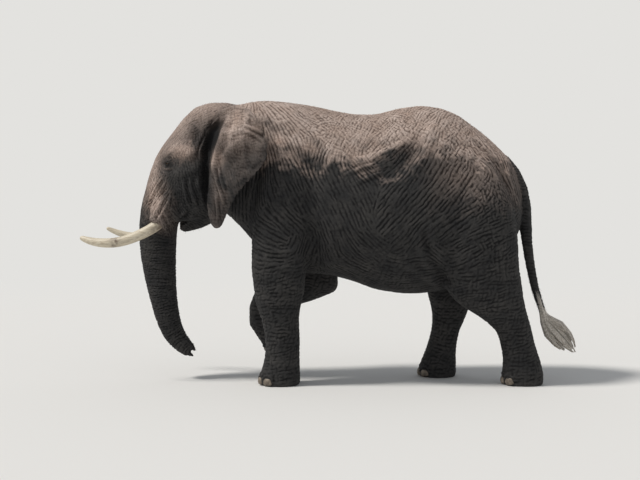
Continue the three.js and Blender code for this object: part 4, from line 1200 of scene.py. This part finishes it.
# %% The hide's colour and relief
# What the points carry: painted shade under the name crease, and dust with painted light.
painted_shade_amount, dust_and_light_amount = (add_node(hide_finish, "Attribute", output="Fac", attribute_name=name)
                              for name in ("crease", "dust_and_light"))
rubbed = add_node(hide_finish, "MapRange", {"Value": blotches, "From Min": 0.35, "From Max": 0.7})
bare_and_shade = add_node(hide_finish, "Mix", {0: rubbed, 6: BARE_IN_SHADE, 7: RUBBED}, 2, data_type="RGBA")
# Painted shade: in creases and hollows the bare hide is mixed towards near black.
bare_and_shade = add_node(hide_finish, "Mix", {0: painted_shade_amount, 6: bare_and_shade, 7: CREVICE_SHADE}, 2, data_type="RGBA")
soiled = add_node(hide_finish, "MapRange", {"Value": blotches, "From Min": 0.3, "From Max": 0.7})
dusty = add_node(hide_finish, "Mix", {0: soiled, 6: DUST, 7: SOIL}, 2, data_type="RGBA")
# Painted shade: in creases and hollows the dust is mixed towards a dark brown.
dusty = add_node(hide_finish, "Mix", {0: painted_shade_amount, 6: dusty, 7: DUSTY_CREVICE_SHADE}, 2, data_type="RGBA")
caught = add_node(hide_finish, "MapRange", {"Value": papillae, "From Min": 0.3, "From Max": 0.7,
                  "To Min": 0.55, "To Max": 1.3})  # the papillae hold the powder unevenly
powder_and_light = add_node(hide_finish, "Math", {0: dust_and_light_amount, 1: caught}, operation="MULTIPLY", use_clamp=True)
colour = add_node(hide_finish, "Mix", {0: powder_and_light, 6: bare_and_shade, 7: dusty}, 2, data_type="RGBA")
# Painted shade in the cracks of the crazed hide.
crack_shade = add_node(hide_finish, "Math", {0: crack, 1: 0.22}, operation="MULTIPLY")
colour = add_node(hide_finish, "Mix", {0: crack_shade, 6: colour, 7: CREVICE_SHADE}, 2, data_type="RGBA")
relief_height = add_node(hide_finish, "Math", {0: crack, 1: -1.0}, operation="MULTIPLY")
for part, height in ((small_crack, -0.5), (papillae, 0.6)):
    relief_height = add_node(hide_finish, "Math", {0: part, 1: height, 2: relief_height},
                             operation="MULTIPLY_ADD")
bump = add_node(hide_finish, "Bump", {"Height": relief_height, "Distance": 2.2 * MM, "Strength": 0.8})
set_inputs(hide_finish, hide_shader, {"Base Color": colour, "Normal": bump, "Roughness": 0.82, "IOR": 1.45,
           "Specular IOR Level": 0.35})
add_object("hide", skin_mesh, hide_finish, *flesh_names, slot="hide")

# %% [markdown]
# ## Tusks
# Tusks are dentine that grows all through life. The part outside the lip is scraped smooth by work, with
# long hairline cracks and brown stain from bark and sap near the root and in the hollows of wear. A
# smoothed copy of each tusk's solid keeps its curve and takes away its facets.

# %% Round the tusks
def rounded(name, levels, regain):
    """A smooth copy of a solid. Smoothing draws it in, so it is swollen again by `regain`."""
    shape = bmesh.new()
    shape.from_mesh(nodes[name].data)
    bmesh.ops.remove_doubles(shape, verts=shape.verts, dist=0.01 * MM)
    bmesh.ops.join_triangles(shape, faces=shape.faces, angle_face_threshold=math.radians(50),
                             angle_shape_threshold=math.radians(60))
    mesh = bpy.data.meshes.new(name + "_round")
    shape.to_mesh(mesh)
    shape.free()
    holder = bpy.data.objects.new("holder", mesh)
    scene.collection.objects.link(holder)
    smoother = holder.modifiers.new("smoother", "SUBSURF")
    smoother.levels = smoother.render_levels = levels
    done = bpy.data.meshes.new_from_object(holder.evaluated_get(bpy.context.evaluated_depsgraph_get()))
    bpy.data.objects.remove(holder)
    spots = read_points(done)
    turned = np.empty(len(spots) * 3, np.float32)
    done.vertices.foreach_get("normal", turned)
    write_points(done, spots + regain * turned.reshape(-1, 3))
    return done


# %% Ivory
# Dentine scraped smooth by work: a soft gloss over fine lines that run along the tusk.
ivory_finish, ivory_shader = new_material("worked_ivory")
IVORY, OLD_IVORY, STAIN = linear("#d8cdb6"), linear("#a3927a"), linear("#4d3626")
on_tusk = add_node(ivory_finish, "TexCoord", output="Object")
drawn_out = add_node(ivory_finish, "Mapping", {"Vector": on_tusk, "Scale": (1.2, 14, 9)})
lines = add_node(ivory_finish, "TexNoise", {"Vector": drawn_out, "Scale": 6.0, "Detail": 6.0,
                 "Roughness": 0.7})
cloud = add_node(ivory_finish, "TexNoise", {"Vector": on_tusk, "Scale": 9.0, "Detail": 5.0,
                 "Roughness": 0.65})
aged = add_node(ivory_finish, "MapRange", {"Value": lines, "From Min": 0.45, "From Max": 0.75})
tone = add_node(ivory_finish, "Mix", {0: aged, 6: IVORY, 7: OLD_IVORY}, 2, data_type="RGBA")
clouded = add_node(ivory_finish, "MapRange", {"Value": cloud, "From Min": 0.40, "From Max": 0.58})
stain = add_node(ivory_finish, "Attribute", output="Fac", attribute_name="stain")
stained = add_node(ivory_finish, "Math", {0: stain, 1: clouded}, operation="MULTIPLY")
tone = add_node(ivory_finish, "Mix", {0: stained, 6: tone, 7: STAIN}, 2, data_type="RGBA")
bump = add_node(ivory_finish, "Bump", {"Height": lines, "Distance": 1.0 * MM, "Strength": 0.6})
set_inputs(ivory_finish, ivory_shader, {"Base Color": tone, "Normal": bump, "Roughness": 0.42,
           "IOR": 1.54})

STAIN_AT = (0.42, 0.055)  # how far behind the tusk's tip the work stain lies, and its half length
for name in ("tusk_left", "tusk_right"):
    mesh = rounded(name, 3, 3.5 * MM)
    spots = read_points(mesh)
    from_tip = spots[:, 0] - spots[:, 0].min()
    worn = 0.9 * np.exp(-(((from_tip - STAIN_AT[0]) / STAIN_AT[1]) ** 2))
    root = 0.8 * smoothstep(0.72, 0.95, from_tip)
    write_value(mesh, "stain", np.maximum(worn, root))
    add_object(name + "_ivory", mesh, ivory_finish, name, slot="ivory")

# %% [markdown]
# ## Toenails
# The nails are shields of horn on the rim of the foot, four before and three behind here. They grow
# down in fine ridges and chip at the rim. The solids are plain rounded buttons. Modelling each nail anew
# would lose their places, so each solid is rounded and then pressed into a shield.

# %% Nails
# Keratin laid down in upright ridges and scuffed by the ground: half matt, dirty in the grooves.
horn_finish, horn_shader = new_material("toenail_horn")
HORN, HORN_DARK = linear("#8d8172"), linear("#4c433b")
RIDGE = 9 * MM  # real ridges are 1 to 2 mm apart; drawn coarser, so that they show
on_nail = add_node(horn_finish, "TexCoord", output="Object")
upright = add_node(horn_finish, "Mapping", {"Vector": on_nail, "Scale": (1, 1, 0.12)})
ridges = add_node(horn_finish, "TexNoise", {"Vector": upright, "Scale": 1 / RIDGE, "Detail": 3.0})
dirt = add_node(horn_finish, "TexNoise", {"Vector": on_nail, "Scale": 22.0, "Detail": 5.0})
dirty = add_node(horn_finish, "MapRange", {"Value": dirt, "From Min": 0.35, "From Max": 0.7})
tone = add_node(horn_finish, "Mix", {0: dirty, 6: HORN, 7: HORN_DARK}, 2, data_type="RGBA")
grooved = add_node(horn_finish, "MapRange", {"Value": ridges, "From Min": 0.5, "From Max": 0.8,
                   "To Max": 0.6})
tone = add_node(horn_finish, "Mix", {0: grooved, 6: tone, 7: HORN_DARK}, 2, data_type="RGBA")
bump = add_node(horn_finish, "Bump", {"Height": ridges, "Distance": 1.5 * MM, "Strength": 0.8})
set_inputs(horn_finish, horn_shader, {"Base Color": tone, "Normal": bump, "Roughness": 0.55})


def shield(spots, foot_points):
    """Shapes a round nail into a shield: flat in front, round at the cuticle, wide and square below."""
    middle = spots.mean(0)
    inward = foot_points[np.linalg.norm(foot_points - middle, axis=1) < 0.30].mean(0) - middle
    outward = np.linalg.svd(spots - middle, full_matrices=False)[2][2]
    outward *= -np.sign(outward @ inward)
    up = unit(inward - outward * (inward @ outward))
    axes = np.stack([outward, np.cross(outward, up), up], 1)
    local = (spots - middle) @ axes
    half = np.abs(local).max(0)
    share = local / half
    from_axis = np.maximum(np.hypot(share[:, 1], share[:, 2]), 1e-6)
    squareness = (np.abs(share[:, 1:] / from_axis[:, None]) ** 4).sum(1) ** -0.25
    below = smoothstep(0.3, -0.3, share[:, 2])
    share[:, 1:] *= (1 + below * (squareness - 1))[:, None]
    share[:, 0] = 0.9 * np.sign(share[:, 0]) * np.abs(share[:, 0]) ** 0.6
    share[:, 0] += 0.05 * np.cos(share[:, 1] * 14) * below
    share[:, 1] *= 1.18
    share[:, 2] -= 0.22
    return middle + (share * half) @ axes.T


for foot_name in ("front_left", "front_right", "hind_left", "hind_right"):
    toes = [n for n in nail_names if n.startswith("nail_" + foot_name)]
    joined = bmesh.new()
    for name in toes:
        nail_mesh = rounded(name, 3, 3 * MM)
        foot_points = points[masks["leg_" + foot_name] > 0.5]
        write_points(nail_mesh, shield(read_points(nail_mesh), foot_points))
        joined.from_mesh(nail_mesh)
    mesh = bpy.data.meshes.new("nails_" + foot_name)
    joined.to_mesh(mesh)
    joined.free()
    spots = read_points(mesh)
    spots[:, 2] = np.maximum(spots[:, 2], 0.5 * MM)
    write_points(mesh, spots)
    add_object("nails_" + foot_name, mesh, horn_finish, *toes, slot="nail")

# %% [markdown]
# ## Eyes
# The eyeball is dark and wet. Its iris is amber brown, with streaks that run to a round pupil, and the
# white hardly shows. A clear shell over a painted ball would show more depth, but at this size it can't
# be seen, so one fine sphere is painted by its distance from the pupil, and its front swells a little
# into the cornea.

# %% Eyeballs
# A ball kept wet by tears: a mirror-smooth film, so the lamp shows in it as a small bright spot.
eye_finish, eye_shader = new_material("wet_eyeball")
PUPIL, IRIS, IRIS_FLECK, WHITE = (linear(c) for c in ("#050404", "#4a2e17", "#86592c", "#2b1d16"))
PUPIL_EDGE, IRIS_EDGE = (0.28, 0.31), (0.60, 0.68)  # radians from the pupil's middle
from_pupil = add_node(eye_finish, "Attribute", output="Fac", attribute_name="from_pupil")
on_eye = add_node(eye_finish, "TexCoord", output="Object")
flecks = add_node(eye_finish, "TexNoise", {"Vector": on_eye, "Scale": 260.0, "Detail": 3.0})
flecked = add_node(eye_finish, "MapRange", {"Value": flecks, "From Min": 0.35, "From Max": 0.7})
past_pupil, past_iris = (add_node(eye_finish, "MapRange", {"Value": from_pupil, "From Min": inner,
                                  "From Max": outer}) for inner, outer in (PUPIL_EDGE, IRIS_EDGE))
iris = add_node(eye_finish, "Mix", {0: flecked, 6: IRIS, 7: IRIS_FLECK}, 2, data_type="RGBA")
around_pupil = add_node(eye_finish, "Mix", {0: past_iris, 6: iris, 7: WHITE}, 2, data_type="RGBA")
ball = add_node(eye_finish, "Mix", {0: past_pupil, 6: PUPIL, 7: around_pupil}, 2, data_type="RGBA")
set_inputs(eye_finish, eye_shader, {"Base Color": ball, "Roughness": 0.06, "IOR": 1.38,
           "Coat Weight": 0.3, "Coat Roughness": 0.03})
for side, name in ((LEFT, "eye_left"), (RIGHT, "eye_right")):
    shape = bmesh.new()
    bmesh.ops.create_uvsphere(shape, u_segments=48, v_segments=32, radius=eye_radius)
    mesh = bpy.data.meshes.new(name + "_ball")
    shape.to_mesh(mesh)
    shape.free()
    spots = read_points(mesh)
    gaze = unit(0.25 * to_front + side * to_right)
    off = np.arccos(np.clip(spots @ gaze / eye_radius, -1, 1))
    spots *= 1 + 0.07 * smoothstep(0.75, 0.35, off)[:, None]
    write_value(mesh, "from_pupil", off)
    write_points(mesh, spots + eyes[side])
    add_object(name + "_ball", mesh, eye_finish, name, slot="eye")

# %% [markdown]
# ## Hair
# Hair on an elephant is sparse and as stiff as wire. The brush at the tail's end is the only thick growth,
# a flat wedge of strands that fan out fore and aft. Each strand is a thin tapered tube of three sides.
# Curve hair would be quicker to lay but has no mesh of its own. The root of each strand also has a place
# on an unwrap of the hide, seen square on from six sides, which holds that strand's colour when the
# finishes are baked.

# %% Strands
BOX_VIEWS = [  # the axis looked along, the two axes of its picture, where the picture lies on the unwrap
    (1, -1, (0, 2), (0.0, 0.0)), (1, 1, (0, 2), (0.0, 3.4)), (2, 1, (0, 1), (0.0, 6.8)),
    (2, -1, (0, 1), (0.0, 8.4)), (0, -1, (1, 2), (6.0, 0.0)), (0, 1, (1, 2), (6.0, 3.4)),
]
UNWRAP_SIZE = 10.0  # metres of hide across the whole unwrap
TUFT_PATCH = 0.003  # size of a strand's patch, as a share of the unwrap
low_corner = np.array(cad_box[0])


def unwrap_place(point, facing_way):
    """Where a root lies on the unwrap, in the picture of the side that the hide faces there."""
    axis = int(np.argmax(np.abs(facing_way)))
    sign = 1 if facing_way[axis] > 0 else -1
    for view_axis, view_sign, flat_axes, corner in BOX_VIEWS:
        if view_axis == axis and view_sign == sign:
            flat = [point[k] - low_corner[k] for k in flat_axes]
            return [(corner[k] + flat[k]) / UNWRAP_SIZE for k in (0, 1)]


def strands_mesh(name, strands):
    """Joins strands into one mesh. Each is (path points, half width at each, root's facing)."""
    points_out, faces_out, spots_out = [], [], []
    for path, widths, root_facing in strands:
        path = np.asarray(path)
        base = len(points_out)
        u0, v0 = unwrap_place(path[0], root_facing)
        ways = unit(np.gradient(path, axis=0))
        across = unit(np.cross(ways, (0.3, 1.0, 0.2)))
        other = np.cross(ways, across)
        count = len(path)
        for i in range(count):
            for k in range(3):
                turn = 2 * math.pi * k / 3
                edge = math.cos(turn) * across[i] + math.sin(turn) * other[i]
                points_out.append(path[i] + widths[i] * edge)
                spots_out.append((u0 + TUFT_PATCH * k / 3, v0 + TUFT_PATCH * i / count))
        for i in range(count - 1):
            for k in range(3):
                a, b = base + 3 * i + k, base + 3 * i + (k + 1) % 3
                faces_out.append((a, b, b + 3, a + 3))
        faces_out.append((base + 2, base + 1, base))
        end = base + 3 * (count - 1)
        faces_out.append((end, end + 1, end + 2))
    mesh = mesh_of(name, points_out, faces_out)
    layer = mesh.uv_layers.new(name="OFBake")
    corners = np.empty(len(mesh.loops), np.int32)
    mesh.loops.foreach_get("vertex_index", corners)
    layer.data.foreach_set("uv", np.array(spots_out, np.float32)[corners].ravel())
    return mesh


def hair_material(name, scale, detail, tone_range, dark, pale, roughness):
    """Keratin wire whose tone drifts from strand to strand."""
    finish, shader = new_material(name)
    on_hair = add_node(finish, "TexCoord", output="Object")
    drifting = add_node(finish, "TexNoise", {"Vector": on_hair, "Scale": scale, "Detail": detail})
    share = add_node(finish, "MapRange", {"Value": drifting, "From Min": tone_range[0],
                     "From Max": tone_range[1]})
    tone = add_node(finish, "Mix", {0: share, 6: linear(dark), 7: linear(pale)}, 2, data_type="RGBA")
    set_inputs(finish, shader, {"Base Color": tone, "Roughness": roughness})
    return finish


# Hair bleached by sun and caked with dried mud: pale, with no gloss, and darker where strands are bare.
# Its tones are paler still than the hair's own: painted light that makes up for the shade between strands.
brush_finish = hair_material("dusty_and_lightened_tail_hair", 60.0, 4.0, (0.3, 0.7), "#b7ada1", "#fcf5ea", 0.6)
print("unwrap holds", round(TUFT_PATCH * UNWRAP_SIZE / MM), "mm of hide per strand")

# %% The tail's brush
brush_low, brush_high = (np.array(corner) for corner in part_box("tail_brush"))
brush_top = np.array([brush_low[0] + 0.035, (brush_low[1] + brush_high[1]) / 2, brush_high[2] - 0.03])
brush_end = np.array([brush_high[0] - 0.03, brush_top[1], brush_low[2] + 0.02])
brush_way = brush_end - brush_top
brush_across = unit(np.cross(brush_way, (0, 1, 0)))
# The middle line of the brush, from a place on the tail (share -0.4) to the end of the brush (share 1).
ON_TAIL = 0.6
middle_shares = [-ON_TAIL, -ON_TAIL / 2, 0, 1]
tail_places = [points[(masks["tail"] > 0.5) & (np.abs(points[:, 2] - z) < 0.02)].mean(0)
               for z in (brush_top[2] + 0.33, brush_top[2] + 0.165)]
middle_places = np.array([*tail_places, brush_top, brush_end])
TAIL_HALF = 0.037  # half the tail's width, where the first strands leave it
BRUSH_SPREAD = ([-0.1, 0.10, 0.30, 0.60, 0.80, 1.0], [TAIL_HALF, 0.085, 0.128, 0.122, 0.090, 0.022])
LOCKS, STRANDS, SHARE_ON_TAIL = 15, 2600, 0.4
TAPER = np.array([0.4, 0.9, 1, 1, 0.95, 0.8, 0.55, 0.2])  # thickness along a strand
random = np.random.default_rng(31)
strands = []
locks = np.stack([np.linspace(-0.95, 0.95, LOCKS), random.uniform(-0.9, 0.9, LOCKS),
                  random.uniform(0.72, 1.0, LOCKS)], 1)
for _ in range(STRANDS):
    lock_fan, lock_thick, lock_end = locks[random.integers(LOCKS)]
    begin = 0.30 * random.random() ** 1.5
    if random.random() < SHARE_ON_TAIL:
        begin = -ON_TAIL * random.random() ** 2.2
    end = lock_end * (1 - 0.22 * random.random() ** 2)
    fan = np.clip(lock_fan + 0.030 * random.standard_normal(), -1, 1)
    thick = np.clip(lock_thick + 0.22 * random.standard_normal(), -1, 1)
    steps = np.linspace(begin, end, len(TAPER))
    spread_out = np.interp(steps, *BRUSH_SPREAD)
    wave = 0.006 * np.sin(steps * random.uniform(8, 16) + random.uniform(0, 6))
    wave = wave * smoothstep(-0.1, 0.3, steps)
    opening = np.where(steps < 0.05, 1, smoothstep(-0.02, 0.30, steps - begin) * 0.65 + 0.35)
    path = np.stack([np.interp(steps, middle_shares, middle_places[:, k]) for k in range(3)], 1)
    path = path + ((fan * spread_out * opening + wave)[:, None]) * brush_across
    free = smoothstep(-0.1, 0.15, steps)
    round_tail = math.copysign(math.sqrt(1 - fan * fan), thick) * TAIL_HALF
    in_brush = thick * 0.42 * spread_out * opening * math.sqrt(1 - 0.8 * fan * fan)
    path[:, 1] += (1 - free) * round_tail + free * in_brush
    strands.append((path, random.uniform(1.6, 2.8) * MM * TAPER, (fan * 0.2, 1 if thick > 0 else -1, 0)))
brush = strands_mesh("tail_brush_hair", strands)
add_object("tail_brush_hair", brush, brush_finish, "tail_brush", slot="hair")

# %% [markdown]
# ## Bristles and lashes
# The rest of the hair is single bristles: lashes of 2 to 5 cm along the upper lids, a beard on the chin,
# a few stiff hairs along the trunk and over the crown and the back, and a fringe at the ear's cleft. They
# grow from points of the skin drawn by lot, with the lot weighted by where the animal has them.

# %% Bristles and lashes
normal = normals_of(points)
place = head_place(points)
random = np.random.default_rng(77)
BRISTLE = 0.9 * MM  # half a bristle's width at its root; the real ones are about half as thick


def bristles(chosen, length, standing, way):
    """Strands from the chosen points: `standing` is 1 for upright ones and 0 for ones that lie flat
    along `way`."""
    grown = []
    for i in chosen:
        lying = way + 0.35 * random.standard_normal(3)
        lying = unit(lying - normal[i] * (lying @ normal[i]))
        size = length * random.uniform(0.6, 1.2)
        t = np.array([-0.05, 0.3, 0.65, 1.0])[:, None]
        path = points[i] + size * (t * standing * normal[i] + (t * (1 - standing) + 0.25 * t * t) * lying)
        path[:, 2] = np.maximum(path[:, 2], 2 * MM)
        grown.append((path, BRISTLE * np.array([1, 0.9, 0.7, 0.25]), normal[i]))
    return grown


back = -to_front
DOWN = np.array([0.15, 0.0, -1.0])
even_chance = skin_share / skin_share.sum()
chin = head_mask * smoothstep(-0.52, -0.62, place[:, 2]) * (place[:, 0] > -0.45) * (place[:, 0] < -0.02)
crown = head_mask * smoothstep(0.30, 0.60, place[:, 2]) * smoothstep(0.2, 0.6, normal[:, 2])
ridge = body_part * smoothstep(0.55, 0.85, normal[:, 2]) * (points[:, 2] > 2.3)
before_ear = lump(head_map, (-0.43, 0.22), (0.04, 0.16), 1) * head_mask
tail_end = masks["tail"] * smoothstep(1.5, 1.1, points[:, 2])
GROWTHS = [  # where, how many, length, how upright, which way they lie
    (chin, 130, 0.040, 0.4, DOWN), (crown, 240, 0.020, 0.5, back + 0.3 * DOWN),
    (ridge, 420, 0.022, 0.4, back), (masks["trunk"], 700, 0.016, 0.45, DOWN),
    (before_ear, 160, 0.050, 0.55, back), (tail_end, 200, 0.040, 0.3, DOWN),
]
strands = []
for where_grown, count, length, standing, way in GROWTHS:
    chance = even_chance * np.clip(where_grown, 0, 1)
    chosen = random.choice(len(points), count, replace=False, p=chance / chance.sum())
    strands += bristles(chosen, length, standing, way)
LASHES = 34
LASH = 0.6 * MM  # half a lash's width at its root
for side in (LEFT, RIGHT):
    outward, forward, upward = eye_frames[side]
    for turn_at in np.linspace(0.25, 2.9, LASHES) + random.uniform(-0.05, 0.05, LASHES):
        x, y = 1.16 * SLIT[0] * math.cos(turn_at), 1.2 * SLIT[1] * math.sin(turn_at)
        root = eyes[side] + x * forward + y * upward + 0.98 * (eye_radius + LID) * outward
        root -= outward * 0.35 * (x * x + y * y) / eye_radius
        out_way = outward + 0.35 * (x * forward + y * upward) / SLIT[0] - 0.25 * upward
        size = random.uniform(0.024, 0.046)
        t = np.array([-0.15, 0.35, 0.7, 1.0])[:, None]
        path = root + size * (t * out_way - 0.45 * t * t * upward)
        strands.append((path, LASH * np.array([1, 0.9, 0.7, 0.2]), outward))
# Bare black keratin wire, a little polished by rubbing: it reads as a fine dark line.
bristle_finish = hair_material("black_bristle", 40.0, 2.0, (0.35, 0.65), "#14110f", "#4a4039", 0.5)
add_object("bristles", strands_mesh("bristles", strands), bristle_finish, slot="hair")

# %% [markdown]
# ## Sizes
# The finished pieces have to fill the same box as the solids. Both boxes are kept, so that a form that
# has grown past the solids or shrunk inside them shows at once.

# %% Compare the sizes and finish
visual_box = [list(corner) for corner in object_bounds()]
print("cad box", cad_box, "visual box", visual_box, round(time.time() - started, 1), "s")
